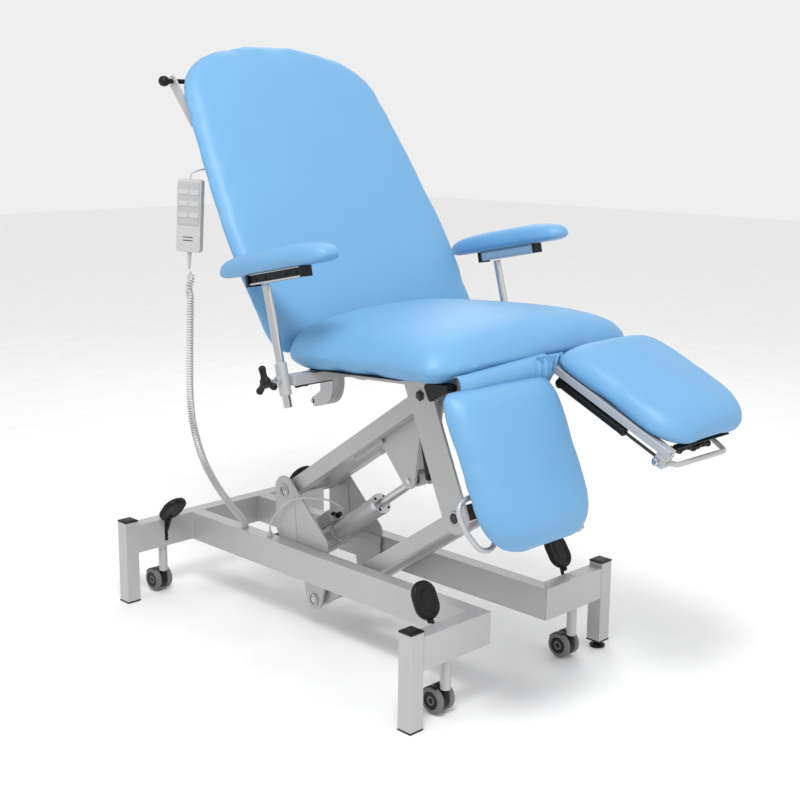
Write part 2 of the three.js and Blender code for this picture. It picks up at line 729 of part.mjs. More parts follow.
const ROLL_AXIS = [345, 1409];
const ROLL_PLATE_X = 298;
const CRANK_X = -150;

// The crank under the seat curls back to a small hole.
function crank() {
  const outline = [
    [-42, 832], [-24, 826], [-40, 790], [-50, 740], [-62, 704], [-62, 676], [-50, 660], [-22, 652],
    [-12, 636], [-24, 622], [-66, 630], [-94, 652], [-106, 690], [-98, 728], [-76, 770],
  ];
  const local = outline.map((p) => toBack(...p));
  return {
    plate: plateYZ(local, CRANK_X, 40),
    hole: crossBar(toBack(-30, 637), CRANK_X - 30, CRANK_X + 30, 5, 12),
  };
}

function backrestFrame() {
  const depth = -BACK_THICK - 14;
  const parts = [];
  const hinge = toBack(...BACK_HINGE);
  const roll = toBack(...ROLL_AXIS);
  for (const [, side] of SIDES) {
    parts.push(box(25, 660, 25, side * 230, 340, depth));
    parts.push(plateYZ(hull([[...hinge, 12.5], [24, depth, 12], [60, depth, 12]]), side * 222, 8));
    const arm = hull([[...roll, 15], [roll[0] - 84, depth - 2, 11], [roll[0] - 130, depth, 9]]);
    parts.push(plateYZ(arm, side * ROLL_PLATE_X, 5));
    parts.push(box(80, 26, 10, side * 262, roll[0] - 112, depth + 4));
  }
  parts.push(box(470, 25, 25, 0, 22, depth));
  parts.push(box(470, 25, 25, 0, 380, depth));
  parts.push(box(470, 25, 25, 0, 658, depth));
  const { plate, hole } = crank();
  parts.push(plate);
  return join(parts, [crossBar(hinge, -260, 260, 7.5, 16), crossBar(roll, -340, 340, 6.5, 16), hole]);
}
add('backrest_frame', backrestFrame(), PAINT, back);

function rollRod() {
  const roll = toBack(...ROLL_AXIS);
  const knob = new THREE.SphereGeometry(13, 12, 8).translate(-ROLL_PLATE_X - 26, ...roll);
  return join([crossBar(roll, -ROLL_PLATE_X - 20, ROLL_PLATE_X + 12, 6, 14), knob]);
}
add('paper_roll_rod', rollRod(), BLACK, back);

// ---------------------------------------------------------------- leg rests, built towards local -Y

// Distances of the inner and outer edges from the ideal rectangle, along the cushion.
const PAD_INNER = [[0, 22], [0.05, 8], [0.15, 1], [0.7, 0], [0.86, 5], [0.95, 22], [1, 54]];
const PAD_OUTER = [
  [0, 24], [0.05, 10], [0.15, 3], [0.45, 0], [0.75, 7], [0.88, 25], [0.96, 54], [1, 90],
];

function legPad(side) {
  const pad = join([cushion({
    y0: -PAD_START, y1: -PAD_END,
    edges: (t) => [PAD_IN + lookup(PAD_INNER, t), PAD_OUT - lookup(PAD_OUTER, t)],
    low: PAD_LOW, seam: PAD_LOW + 11, top: PAD_LOW + PAD_THICK, crown: PAD_CROWN, rows: 14, cols: 12,
  })]);
  return side > 0 ? pad : mirrorX(pad);
}

const BAR_X = [24, 274];
const BAR_START = 46;           // distance of the bars' upper ends from the hinge
const BAR_DEPTH = 18;
const BAR_Z = PAD_LOW - 1 - BAR_DEPTH / 2;

function legFrame(side) {
  const parts = [];
  for (const [x, length] of [[BAR_X[0], 350], [BAR_X[1], 298]]) {
    parts.push(box(24, length, BAR_DEPTH, x, -BAR_START - length / 2, BAR_Z));
  }
  for (const x of HINGE_LUG_X) {
    const away = x < 100 ? -LUG - 1.5 : LUG + 1.5;
    parts.push(plateYZ(hull([[0, 0, 10.5], [-40, BAR_Z, 10.5]]), x + away, LUG));
  }
  parts.push(box(250, 20, 12, 149, -84, BAR_Z - 2));
  parts.push(box(250, 20, 12, 149, -326, BAR_Z - 2));
  parts.push(box(22, 28, 34, 24, -382, BAR_Z - 21));
  parts.push(legHandle(side));
  const geometry = join(parts, [crossBar([0, 0], 0, 320, 6.5, 16)]);
  return side > 0 ? geometry : mirrorX(geometry);
}

// The bent handle welded to the free end.
function legHandle(side) {
  const z = BAR_Z - 25;
  const points = side > 0
    ? [[30, -388, z], [48, -406, z], [236, -408, z], [230, -346, z + 10], [268, -330, z + 22]]
    : [
      [268, -330, z + 20], [286, -378, z + 12], [324, -374, z + 10], [350, -326, z + 10],
      [356, -280, z + 10], [334, -262, z + 14], [274, -262, z + 22],
    ];
  return sweepPath(bentPath(points, 10), 6, 8, 28);
}

const STRUT_Z = BAR_Z - 25;

function legStrut(side) {
  const x = side * 24;
  return join([
    bar([x, -84, STRUT_Z], [x, -276, STRUT_Z], 10, 16),
    crossBar([-80, STRUT_Z], x - 7, x + 7, 11, 16),
    box(12, 16, 20, x, -80, BAR_Z - BAR_DEPTH / 2 - 10 - GAP),
    bar([x, -270, STRUT_Z], [x, -368 + GAP, STRUT_Z], 3.5, 10),
  ]);
}

for (const [name, side] of SIDES) {
  const drop = side < 0 ? LEFT_DROP : RIGHT_DROP;
  const group = groupAt(LEG_HINGE, drop);
  add(`leg_rest_frame_${name}`, legFrame(side), PAINT, group);
  add(`leg_rest_pad_${name}`, legPad(side), VINYL, group);
  add(`leg_strut_${name}`, legStrut(side), BLACK, group);
}

// ---------------------------------------------------------------- arm rests

function armPost(x) {
  return bar([x, ...postAt(0)], [x, ...postAt(0.985)], POST_R, 20);
}

function restGroup(side) {
  const group = new THREE.Group();
  group.position.set(side * POST_X, ...REST_AT);
  group.rotation.x = rad(-REST_TILT);
  model.add(group);
  return group;
}

function restBar() {
  const [w, l, h] = CHANNEL;
  return join([box(w, l, h, 0, -48, -h / 2), box(w + 4, 14, h + 2, 0, -48 - l / 2, -h / 2 - 1)]);
}

// Half widths of the arm cushion, from its rear tip to its front.
const REST_OUTLINE = [
  [0, 9], [0.06, 20], [0.15, 29], [0.3, 38], [0.5, 45], [0.7, 47], [0.85, 43], [0.94, 34], [1, 18],
];

function restPad() {
  const half = (t) => (lookup(REST_OUTLINE, t) * REST_HALF) / 47;
  const y0 = REST_LENGTH / 2 - 36;
  return join([cushion({
    y0, y1: y0 - REST_LENGTH, edges: (t) => [-half(t), half(t)], low: GAP, seam: 13,
    top: REST_THICK - 6, crown: 8, rows: 16, cols: 10,
  })]);
}

function clampKnob(side) {
  const at = [side * (POST_X + 52), ...postAt(0.23)];
  const stud = bar([side * (POST_X + 14 + GAP), ...postAt(0.23)], at, 4, 10);
  const parts = [stud, crossBar(postAt(0.23), at[0] - 9, at[0] + 9, 14, 16)];
  for (let i = 0; i < 3; i += 1) {
    const a = rad(70 + 120 * i);
    const tip = [at[0], at[1] + 30 * Math.cos(a), at[2] + 30 * Math.sin(a)];
    parts.push(bar(at, tip, 7, 8));
    parts.push(new THREE.SphereGeometry(8.5, 10, 6).translate(...tip));
  }
  return join(parts);
}

for (const [name, side] of SIDES) {
  add(`armrest_post_${name}`, armPost(side * POST_X), CHROME);
  const group = restGroup(side);
  add(`armrest_bar_${name}`, restBar(), BLACK, group);
  add(`armrest_pad_${name}`, restPad(), VINYL, group);
  add(`armrest_knob_${name}`, clampKnob(side), BLACK);
}

// ---------------------------------------------------------------- hand control, cord and lead

const handset = new THREE.Group();
handset.position.set(...HANDSET_AT);
handset.rotation.set(0, rad(HANDSET_ROLL), rad(HANDSET_TURN), 'ZYX');
model.add(handset);

const BUTTON = [26, 3, 13];
const BUTTON_ROWS = [58, 30, 2];

function handsetBody() {
  const [w, d, h] = HANDSET;
  const shell = box(w, d, h);
  const relief = bar([0, 0, -h / 2], [0, 0, -h / 2 - 42], 6, 12, 3.5);
  const top = [HANDSET_AT[0], HANDSET_AT[1], HANDSET_AT[2] + h / 2];
  const hook = [
    [top[0] + 4, top[1], top[2] - 4], [top[0] + 6, top[1] - 1, top[2] + 12],
    [top[0] + 30, top[1] - 10, top[2] + 22], [-243, 193, 1196],
  ];
  model.updateMatrixWorld(true);
  const local = hook.map((p) => handset.worldToLocal(model.localToWorld(V(...p))).toArray());
  const cuts = [];
  for (const z of BUTTON_ROWS) {
    for (const [, side] of SIDES) cuts.push(box(BUTTON[0] + 1, 6, BUTTON[2] + 1, side * 14, -d / 2, z));
  }
  return join([shell, relief, sweep(local, 1.8, 8, 16)], cuts);
}
add('handset', handsetBody(), SHELL, handset);

BUTTON_ROWS.forEach((z, row) => {
  for (const [name, side] of SIDES) {
    const button = box(BUTTON[0], BUTTON[1], BUTTON[2], side * 14, -HANDSET[1] / 2 - 0.2, z);
    add(`button_${row + 1}_${name}`, button, SHELL, handset);
  }
});

function curlyCord() {
  const plain = [[-345, 228, 950], [-341, 230, 930], [-347, 232, 905], CORD_ROUTE[0], CORD_ROUTE[1]];
  return join([sweep(CORD_ROUTE, COIL_R, 8, 36), sweep(plain, CORD_R, 6, 12)]);
}
add('curly_cord', curlyCord(), SHELL);

function actuatorLead() {
  const gland = bar([-121, 203, RAIL_TOP + GAP], [-121, 203, RAIL_TOP + 14], 8, 12);
  return join([sweep(LEAD_ROUTE, LEAD_R, 6, 30), gland]);
}
add('actuator_lead', actuatorLead(), SHELL);

export default chair;
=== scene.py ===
"""Looks of the podiatry treatment chair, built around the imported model."""

import math

import bmesh
import bpy
from mathutils import Matrix, Vector


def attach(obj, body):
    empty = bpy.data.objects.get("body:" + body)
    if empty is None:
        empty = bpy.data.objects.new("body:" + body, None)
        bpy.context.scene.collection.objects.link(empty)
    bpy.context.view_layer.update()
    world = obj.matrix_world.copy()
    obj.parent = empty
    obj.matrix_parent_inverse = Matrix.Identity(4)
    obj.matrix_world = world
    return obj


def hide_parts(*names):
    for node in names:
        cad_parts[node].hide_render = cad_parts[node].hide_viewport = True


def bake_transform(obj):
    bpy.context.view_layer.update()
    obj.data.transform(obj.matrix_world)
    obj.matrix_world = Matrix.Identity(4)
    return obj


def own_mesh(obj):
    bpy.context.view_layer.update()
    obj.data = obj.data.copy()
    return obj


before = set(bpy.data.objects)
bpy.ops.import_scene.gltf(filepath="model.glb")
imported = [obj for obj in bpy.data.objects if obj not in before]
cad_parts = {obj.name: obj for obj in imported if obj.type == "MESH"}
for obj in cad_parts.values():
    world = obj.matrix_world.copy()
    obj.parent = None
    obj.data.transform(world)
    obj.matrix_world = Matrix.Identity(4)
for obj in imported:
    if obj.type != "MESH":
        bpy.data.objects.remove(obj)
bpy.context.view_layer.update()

# ------------------------------------------------------------------ places, in millimetres

CENTRE_Y = 181.5
TO_ROW = Matrix.Scale(0.001, 4) @ Matrix.Translation((0, CENTRE_Y, 0))
SIDES = (("left", -1), ("right", 1))
P1, P2, P3, P4 = (166, 351), (49, 76.5), (-329, 686.5), (-446, 412)
ACT_BASE, ACT_PIN = (130, 188), (-236, 449)


def hinged(y, z, degrees):
    """The axes of a group that leans about X at a point of the YZ plane."""
    return Matrix.Translation((0, y, z)) @ Matrix.Rotation(math.radians(degrees), 4, "X")


def row(x, y, z):
    """A point given in millimetres in the chair's own axes, in the row frame."""
    return TO_ROW @ Vector((x, y, z))


# ------------------------------------------------------------------ camera and light

CAM_AT = (-2261.4, -2427.7, 1328.8)
CAM_AZIMUTH, CAM_ELEVATION, CAM_ROLL = (math.radians(a) for a in (-44.992, 11.896, 0.504))


def make_camera():
    a, e, r = CAM_AZIMUTH, CAM_ELEVATION, CAM_ROLL
    back = Vector((math.sin(a) * math.cos(e), -math.cos(a) * math.cos(e), math.sin(e)))
    right = Vector((math.cos(a), math.sin(a), 0))
    up = back.cross(right)
    right, up = right * math.cos(r) + up * math.sin(r), up * math.cos(r) - right * math.sin(r)
    data = bpy.data.cameras.new("camera")
    data.sensor_width = 36
    data.lens = 59.0
    data.clip_end = 100
    cam = add_object("camera", data)
    turn = Matrix((right, up, back)).transposed().to_4x4()
    cam.matrix_world = Matrix.Translation(row(*CAM_AT)) @ turn
    bpy.context.scene.camera = cam


def area_light(name, place, aim, size, power):
    data = bpy.data.lights.new(name, "AREA")
    data.shape = "RECTANGLE"
    data.size, data.size_y = size
    data.energy = power
    lamp = add_object(name, data)
    lamp.location = place
    lamp.rotation_mode = "QUATERNION"
    lamp.rotation_quaternion = (Vector(aim) - Vector(place)).to_track_quat("-Z", "Y")


def make_studio():
    scene = bpy.context.scene
    scene.view_settings.view_transform = "Standard"
    world = bpy.data.worlds.new("studio")
    scene.world = world
    world.use_nodes = True
    background = world.node_tree.nodes["Background"]
    background.inputs["Color"].default_value = (1, 1, 1, 1)
    background.inputs["Strength"].default_value = 0.86
    area_light("key", (-1.7, -1.5, 3.9), (0, 0, 0.7), (1.1, 1.1), 96)
    area_light("fill", (0.6, -3.6, 1.8), (0, 0, 0.6), (2.6, 2.0), 6)
    area_light("rim", (2.4, 2.2, 2.8), (0, 0, 0.8), (1.8, 1.8), 16)
    bm = bmesh.new()
    bmesh.ops.create_grid(bm, x_segments=2, y_segments=2, size=14)
    mesh = bpy.data.meshes.new("floor")
    bm.to_mesh(mesh)
    floor = add_object("floor", mesh)
    floor.location.z = -0.0005
    mesh.materials.append(surface_material("floor_white", (0.93, 0.93, 0.93), 0.7, grain=(40, 0.0002)))


# ------------------------------------------------------------------ materials

def surface_material(name, color, roughness, metallic=0.0, variation=0.04, grain=(900, 0.0001),
                     cells=None, waves=None, rough_spread=0.06, specular=0.5):
    """A Principled finish whose colour and roughness drift a little, over fine noise or cell bumps."""
    mat = bpy.data.materials.new(name)
    mat.use_nodes = True
    nodes, links = mat.node_tree.nodes, mat.node_tree.links
    shader = nodes["Principled BSDF"]
    shader.inputs["Metallic"].default_value = metallic
    shader.inputs["Specular IOR Level"].default_value = specular
    place = nodes.new("ShaderNodeTexCoord").outputs["Object"]

    def noise(scale, detail=3.0):
        node = nodes.new("ShaderNodeTexNoise")
        node.inputs["Scale"].default_value = scale
        node.inputs["Detail"].default_value = detail
        links.new(place, node.inputs["Vector"])
        return node.outputs["Fac"]

    drift = nodes.new("ShaderNodeMix")
    drift.data_type = "RGBA"
    drift.inputs["A"].default_value = (*[c * (1 - variation) for c in color], 1)
    drift.inputs["B"].default_value = (*[min(1, c * (1 + variation)) for c in color], 1)
    links.new(noise(7.0), drift.inputs["Factor"])
    links.new(drift.outputs["Result"], shader.inputs["Base Color"])
    rough = nodes.new("ShaderNodeMapRange")
    rough.inputs["To Min"].default_value = roughness - rough_spread
    rough.inputs["To Max"].default_value = roughness + rough_spread
    links.new(noise(35.0), rough.inputs["Value"])
    links.new(rough.outputs["Result"], shader.inputs["Roughness"])

    def bump(height, distance, under=None):
        node = nodes.new("ShaderNodeBump")
        node.inputs["Strength"].default_value = 1.0
        node.inputs["Distance"].default_value = distance
        links.new(height, node.inputs["Height"])
        if under is not None:
            links.new(under, node.inputs["Normal"])
        return node.outputs["Normal"]

    normal = bump(noise(grain[0], 2.0), grain[1])
    if cells:
        cell = nodes.new("ShaderNodeTexVoronoi")
        cell.inputs["Scale"].default_value = cells[0]
        links.new(place, cell.inputs["Vector"])
        normal = bump(cell.outputs["Distance"], cells[1], normal)
    if waves:
        normal = bump(noise(waves[0], 2.0), waves[1], normal)
    links.new(normal, shader.inputs["Normal"])
    return mat


def make_materials():
    return {
        "vinyl": surface_material("vinyl_blue", (0.138, 0.345, 0.585), 0.46, variation=0.03,
                                  grain=(1500, 0.00006), cells=(620, 0.00010), waves=(16, 0.0006)),
        "paint": surface_material("painted_steel", (0.46, 0.46, 0.465), 0.36, metallic=0.25,
                                  variation=0.03, grain=(700, 0.00006), waves=(60, 0.00008)),
        "black": surface_material("black_plastic", (0.006, 0.006, 0.0065), 0.45, variation=0.15,
                                  grain=(1300, 0.00010), waves=(90, 0.00005), specular=0.28),
        "cloth": surface_material("backing_cloth", (0.03, 0.03, 0.032), 0.9, variation=0.2,
                                  grain=(2400, 0.00015), cells=(900, 0.00010)),
        "dark": surface_material("dark_bush", (0.03, 0.03, 0.032), 0.5, variation=0.2,
                                 grain=(1100, 0.00012)),
        "chrome": surface_material("chrome", (0.56, 0.56, 0.57), 0.12, metallic=1.0,
                                   variation=0.02, grain=(260, 0.00001), rough_spread=0.03),
        "alu": surface_material("aluminium", (0.62, 0.62, 0.63), 0.30, metallic=0.9,
                                variation=0.04, grain=(1200, 0.00005)),
        "tyre": surface_material("tyre_grey", (0.15, 0.15, 0.155), 0.62, variation=0.08,
                                 grain=(900, 0.00014)),
        "shell": surface_material("pale_plastic", (0.50, 0.50, 0.497), 0.44, variation=0.02,
                                  grain=(1200, 0.00007)),
        "key": surface_material("key_grey", (0.42, 0.42, 0.42), 0.5, variation=0.03,
                                grain=(1400, 0.00005)),
        "cord": surface_material("cord_grey", (0.52, 0.52, 0.52), 0.42, variation=0.03,
                                 grain=(1500, 0.00005)),
    }


# ------------------------------------------------------------------ mesh building, in millimetres

def axes_along(direction):
    d = Vector(direction).normalized()
    side = Vector((1, 0, 0)) if abs(d.x) < 0.9 else Vector((0, 1, 0))
    u = d.cross(side).normalized()
    return d, u, d.cross(u)


def ring(centre, u, v, r, seg=40):
    turns = [2 * math.pi * i / seg for i in range(seg)]
    return [Vector(centre) + u * (r * math.cos(t)) + v * (r * math.sin(t)) for t in turns]


def loft(bm, rings, caps=True):
    rows = [[bm.verts.new(p) for p in r] for r in rings]
    count = len(rows[0])
    for a, b in zip(rows, rows[1:]):
        for i in range(count):
            bm.faces.new((a[i], a[(i + 1) % count], b[(i + 1) % count], b[i]))
    if caps:
        bm.faces.new(list(reversed(rows[0])))
        bm.faces.new(rows[-1])


def lathe(bm, start, direction, profile, seg=40):
    """A turned solid: profile is (distance along, radius) pairs from start."""
    d, u, v = axes_along(direction)
    loft(bm, [ring(Vector(start) + d * s, u, v, r, seg=seg) for s, r in profile])


def rod(bm, a, b, r, r2=None, seg=32, soft=0.0):
    a, b = Vector(a), Vector(b)
    long = (b - a).length
    r2 = r if r2 is None else r2
    profile = [(0, r), (long, r2)]
    if soft:
        profile = [(0, r - soft), (soft * 0.3, r - soft * 0.3), (soft, r),
                   (long - soft, r2), (long - soft * 0.3, r2 - soft * 0.3), (long, r2 - soft)]
    lathe(bm, a, b - a, profile, seg)


def washer(bm, centre, direction, outer, inner, thick):
    d, u, v = axes_along(direction)
    c = Vector(centre)
    rings = [ring(c, u, v, inner), ring(c, u, v, outer),
             ring(c + d * thick, u, v, outer), ring(c + d * thick, u, v, inner)]
    loft(bm, rings + [rings[0]], caps=False)
    bmesh.ops.remove_doubles(bm, verts=bm.verts, dist=1e-4)


def box(bm, size, centre, turn=None):
    made = bmesh.ops.create_cube(bm, size=1)["verts"]
    matrix = Matrix.Translation(centre) @ (turn or Matrix()) @ Matrix.Diagonal((*size, 1))
    bmesh.ops.transform(bm, matrix=matrix, verts=made)


def plate(bm, outline, x0, x1):
    """A plate in the YZ plane around an outline of (y, z) points."""
    loft(bm, [[Vector((x, y, z)) for y, z in outline] for x in (x0, x1)])


def tube(bm, points, r, seg=16, radii=None):
    points = [Vector(p) for p in points]
    tangents = []
    for i in range(len(points)):
        tangents.append((points[min(i + 1, len(points) - 1)] - points[max(i - 1, 0)]).normalized())
    _, u, _ = axes_along(tangents[0])
    rings = []
    for i, (p, t) in enumerate(zip(points, tangents)):
        u = (u - t * u.dot(t)).normalized()
        rings.append(ring(p, u, t.cross(u), radii[i] if radii else r, seg=seg))
    loft(bm, rings)


def smooth_line(points, steps=8):
    """Catmull-Rom points through a list."""
    pts = [Vector(p) for p in points]
    pts = [pts[0] * 2 - pts[1], *pts, pts[-1] * 2 - pts[-2]]
    line = []
    for a, b, c, d in zip(pts, pts[1:], pts[2:], pts[3:]):
        for i in range(steps):
            t = i / steps
            line.append(0.5 * (2 * b + (c - a) * t + (2 * a - 5 * b + 4 * c - d) * t * t
                               + (3 * b - a - 3 * c + d) * t ** 3))
    return [*line, pts[-2]]


def bent_line(points, radius, steps=7):
    """Straight runs with round corners."""
    pts = [Vector(p) for p in points]
    line = [pts[0]]
    for a, b, c in zip(pts, pts[1:], pts[2:]):
        start, end = b + (a - b).normalized() * radius, b + (c - b).normalized() * radius
        for i in range(steps + 1):
            t = i / steps
            line.append(start.lerp(b, t).lerp(b.lerp(end, t), t))
    return [*line, pts[-1]]


def hull(circles, steps=72):
    """The convex outline around circles given as (y, z, radius)."""
    points = sorted({(y + r * math.cos(2 * math.pi * i / steps), z + r * math.sin(2 * math.pi * i / steps))
                     for y, z, r in circles for i in range(steps)})

    def half(items):
        out = []
        for p in items:
            while len(out) > 1:
                (ay, az), (by, bz) = out[-2], out[-1]
                if (by - ay) * (p[1] - az) - (bz - az) * (p[0] - ay) > 1e-9:
                    break
                out.pop()
            out.append(p)
        return out[:-1]

    return half(points) + half(points[::-1])


SHARP_ANGLE = math.radians(35)


def add_object(name, mesh):
    obj = bpy.data.objects.new(name, mesh)
    bpy.context.collection.objects.link(obj)
    return obj


def smooth_object(name, bm, finish, local=None):
    """Turns millimetre geometry into a smooth-shaded object with its material."""
    mesh = bpy.data.meshes.new(name)
    bm.to_mesh(mesh)
    bm.free()
    mesh.transform(TO_ROW @ (local or Matrix()))
    mesh.shade_smooth()
    mesh.materials.append(MAT[finish])
    obj = add_object(name, mesh)
    return obj


def make(name, bm, body, finish, local=None, replaces=(), bevel=0.0):
    """Turns millimetre geometry into a piece that rides on a body."""
    bmesh.ops.recalc_face_normals(bm, faces=bm.faces)
    obj = smooth_object(name, bm, finish, local)
    dress(obj, bevel)
    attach(obj, body)
    if replaces:
        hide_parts(*([replaces] if isinstance(replaces, str) else replaces))
    return obj


def dress(obj, bevel):
    """Bevels the sharp edges by a width in millimetres, or only shades them sharp."""
    if bevel:
        mod = obj.modifiers.new("bevel", "BEVEL")
        mod.width = bevel * 0.001
        mod.segments = 2
        mod.limit_method = "ANGLE"
        mod.angle_limit = SHARP_ANGLE
        flat = obj.modifiers.new("flats", "WEIGHTED_NORMAL")
        flat.keep_sharp = False
    else:
        obj.data.set_sharp_from_angle(angle=SHARP_ANGLE)


def bevelled(node, body, finish, bevel=1.2):
    """The CAD node's own shape with softened edges."""
    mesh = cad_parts[node].data.copy()
    mesh.materials.clear()
    mesh.materials.append(MAT[finish])
    bm = bmesh.new()
    bm.from_mesh(mesh)
    bmesh.ops.remove_doubles(bm, verts=bm.verts, dist=1e-6)
    bmesh.ops.dissolve_limit(bm, angle_limit=math.radians(0.5), verts=bm.verts, edges=bm.edges)
    bm.to_mesh(mesh)
    bm.free()
    mesh.shade_smooth()
    obj = add_object(f"{node}_body", mesh)
    dress(obj, bevel)
    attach(obj, body)
    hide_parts(node)
    return obj


# ------------------------------------------------------------------ cushions

def lookup(table, t):
    """The value at t on a smooth curve through a table of (t, value) rows."""
    i = 1
    while i < len(table) - 1 and table[i][0] < t:
        i += 1
    (ta, a), (tb, b) = table[i - 1], table[i]
    step = tb - ta
    f = min(1, max(0, (t - ta) / step))
    slopes = []
    for k in (i - 1, i):
        (tp, p), (tn, n) = table[max(0, k - 1)], table[min(len(table) - 1, k + 1)]
        slopes.append((n - p) / (tn - tp) * step)
    return ((2 * f ** 3 - 3 * f * f + 1) * a + (f ** 3 - 2 * f * f + f) * slopes[0]
            + (3 * f * f - 2 * f ** 3) * b + (f ** 3 - f * f) * slopes[1])


def soft(t, power):
    return math.sqrt(max(0.0, 1 - abs(t) ** power))


def cushion_form(y0, y1, edges, low, seam, top, crown, squared=False, rows=64, cols=56):
    """The closed crowned form of a cushion in its own axes, in millimetres."""
    bm = bmesh.new()
    upper, lower = [], []
    for j in range(rows + 1):
        v = math.sin(math.pi / 2 * j / rows) if squared else math.sin(math.pi * (j / rows - 0.5))
        t = v if squared else (v + 1) / 2
        x0, x1 = edges(t)
        g = soft(v, 6)
        up, down = [], []
        for i in range(cols + 1):
            u = math.sin(math.pi * (i / cols - 0.5))
            x, y = (x0 + x1) / 2 + u * (x1 - x0) / 2, y0 + (y1 - y0) * t
            up.append(bm.verts.new((x, y, seam + (top - seam) * soft(u, 8) * g + crown * (1 - u * u) * g)))
            down.append(bm.verts.new((x, y, seam - (seam - low) * soft(u, 12) * soft(v, 12))))
        upper.append(up)
        lower.append(down)
    for j in range(rows):
        for i in range(cols):
            bm.faces.new((upper[j][i], upper[j][i + 1], upper[j + 1][i + 1], upper[j + 1][i]))
            bm.faces.new((lower[j][i], lower[j + 1][i], lower[j + 1][i + 1], lower[j][i + 1]))
    if squared:
        for i in range(cols):
            bm.faces.new((upper[0][i], lower[0][i], lower[0][i + 1], upper[0][i + 1]))
    bmesh.ops.remove_doubles(bm, verts=bm.verts, dist=0.05)
    bmesh.ops.recalc_face_normals(bm, faces=bm.faces)
    return bm


def applied(obj):
    """Replaces an object's mesh by its evaluated one and drops its modifiers."""
    result = bpy.data.meshes.new_from_object(obj.evaluated_get(bpy.context.evaluated_depsgraph_get()))
    obj.modifiers.clear()
    obj.data = result


def extents(mesh):
    return [(min(v.co[k] for v in mesh.vertices), max(v.co[k] for v in mesh.vertices)) for k in range(3)]


def swell(obj, cap):
    """Blows the cushion up by a short cloth simulation, mostly in its thickness, by cap metres at most."""
    start = [v.co.copy() for v in obj.data.vertices]
    cloth = obj.modifiers.new("cloth", "CLOTH")
    cloth.settings.use_pressure = True
    cloth.settings.uniform_pressure_force = 4
    cloth.settings.quality = 4
    cloth.settings.effector_weights.gravity = 0
    cloth.point_cache.frame_start = 1
    cloth.point_cache.frame_end = 20
    for step in range(1, 21):
        bpy.context.scene.frame_set(step)
    applied(obj)
    bpy.context.scene.frame_set(1)
    for vert, before in zip(obj.data.vertices, start):
        move = vert.co - before
        move.x *= 0.15
        move.y *= 0.15
        if move.length > cap:
            move = move.normalized() * cap
        vert.co = before + move


def relax(mesh, rounds, factor=0.5):
    bm = bmesh.new()
    bm.from_mesh(mesh)
    for _ in range(rounds):
        bmesh.ops.smooth_vert(bm, verts=bm.verts, factor=factor, use_axis_x=True, use_axis_y=True,
                              use_axis_z=True)
    bm.to_mesh(mesh)
    bm.free()


def cushion(node, body, local, form, voxel, cap, pockets=()):
    """A padded vinyl cushion that replaces its CAD node; pockets are (x, y, width, length, height)."""
    bm = cushion_form(**form)
    mesh = bpy.data.meshes.new(f"{node}_cover")
    bm.to_mesh(mesh)
    bm.free()
    target = extents(mesh)
    mesh.transform(Matrix.Diagonal((0.001, 0.001, 0.001 * 0.94, 1)))
    obj = add_object(f"{node}_cover", mesh)
    remesh = obj.modifiers.new("remesh", "REMESH")
    remesh.mode = "VOXEL"
    remesh.voxel_size = voxel
    applied(obj)
    relax(obj.data, 4)
    swell(obj, cap)
    relax(obj.data, 3)
    mesh = obj.data
    mesh.transform(Matrix.Scale(1000, 4))
    low = form["low"]
    for vert in mesh.vertices:
        vert.co.z = max(vert.co.z, low)
    got = extents(mesh)
    scale = [(b - a) / (d - c) for (a, b), (c, d) in zip(target, got)]
    for vert in mesh.vertices:
        vert.co = [a + (x - c) * s for x, (a, _), (c, _), s in zip(vert.co, target, got, scale)]
        for x, y, width, length, height in pockets:
            if abs(vert.co.x - x) < width / 2 and abs(vert.co.y - y) < length / 2:
                vert.co.z = max(vert.co.z, height)
    mesh.transform(TO_ROW @ local)
    mesh.shade_smooth()
    mesh.materials.clear()
    mesh.materials.append(MAT["vinyl"])
    fine = obj.modifiers.new("smooth", "SUBSURF")
    fine.levels = fine.render_levels = 1
    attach(obj, body)
    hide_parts(node)
    return obj


def outline_of(y0, y1, edges, inset, count=40):
    """Points round a cushion's plan, inset from its edge, in its own axes."""
    sign = 1 if y1 > y0 else -1
    right, left = [], []
    for i in range(count + 1):
        t = (1 - math.cos(math.pi * i / count)) / 2
        x0, x1 = edges(t)
        y = y0 + (y1 - y0) * t
        y = min(max(y * sign, y0 * sign + inset), y1 * sign - inset) * sign
        right.append((x1 - inset, y))
        left.append((x0 + inset, y))
    return right + left[::-1]


def lining(node, body, local, form, z, inset=24, step=34):
    """The black backing cloth under a cushion, with the staples that hold it."""
    points = outline_of(form["y0"], form["y1"], form["edges"], inset)
    bm = bmesh.new()
    loft(bm, [[Vector((x, y, z + dz)) for x, y in points] for dz in (0.2, -0.4)])
    make(f"{node}_lining", bm, body, "cloth", local)
    bm = bmesh.new()
    rim = outline_of(form["y0"], form["y1"], form["edges"], inset + 5)
    run = 0.0
    for (ax, ay), (bx, by) in zip(rim, rim[1:]):
        a, b = Vector((ax, ay, z - 0.5)), Vector((bx, by, z - 0.5))
        run += (b - a).length
        if run > step and (b - a).length > 0.01:
            run = 0.0
            along = math.atan2(by - ay, bx - ax)
            box(bm, (10, 0.8, 0.5), (a + b) / 2, Matrix.Rotation(along, 4, "Z"))
    make(f"{node}_staples", bm, body, "chrome", local)


SEAT_TILT = 3.2
SEAT = hinged(-141, 757, -SEAT_TILT)
BACK = hinged(-102, 850, 57.9)
LEG_HINGE = (-586, 800)
LEG_REST = {"left": hinged(*LEG_HINGE, 66), "right": hinged(*LEG_HINGE, 24.5)}
SEAT_LENGTH = 485
HINGE_LUG_X = (44, 256)


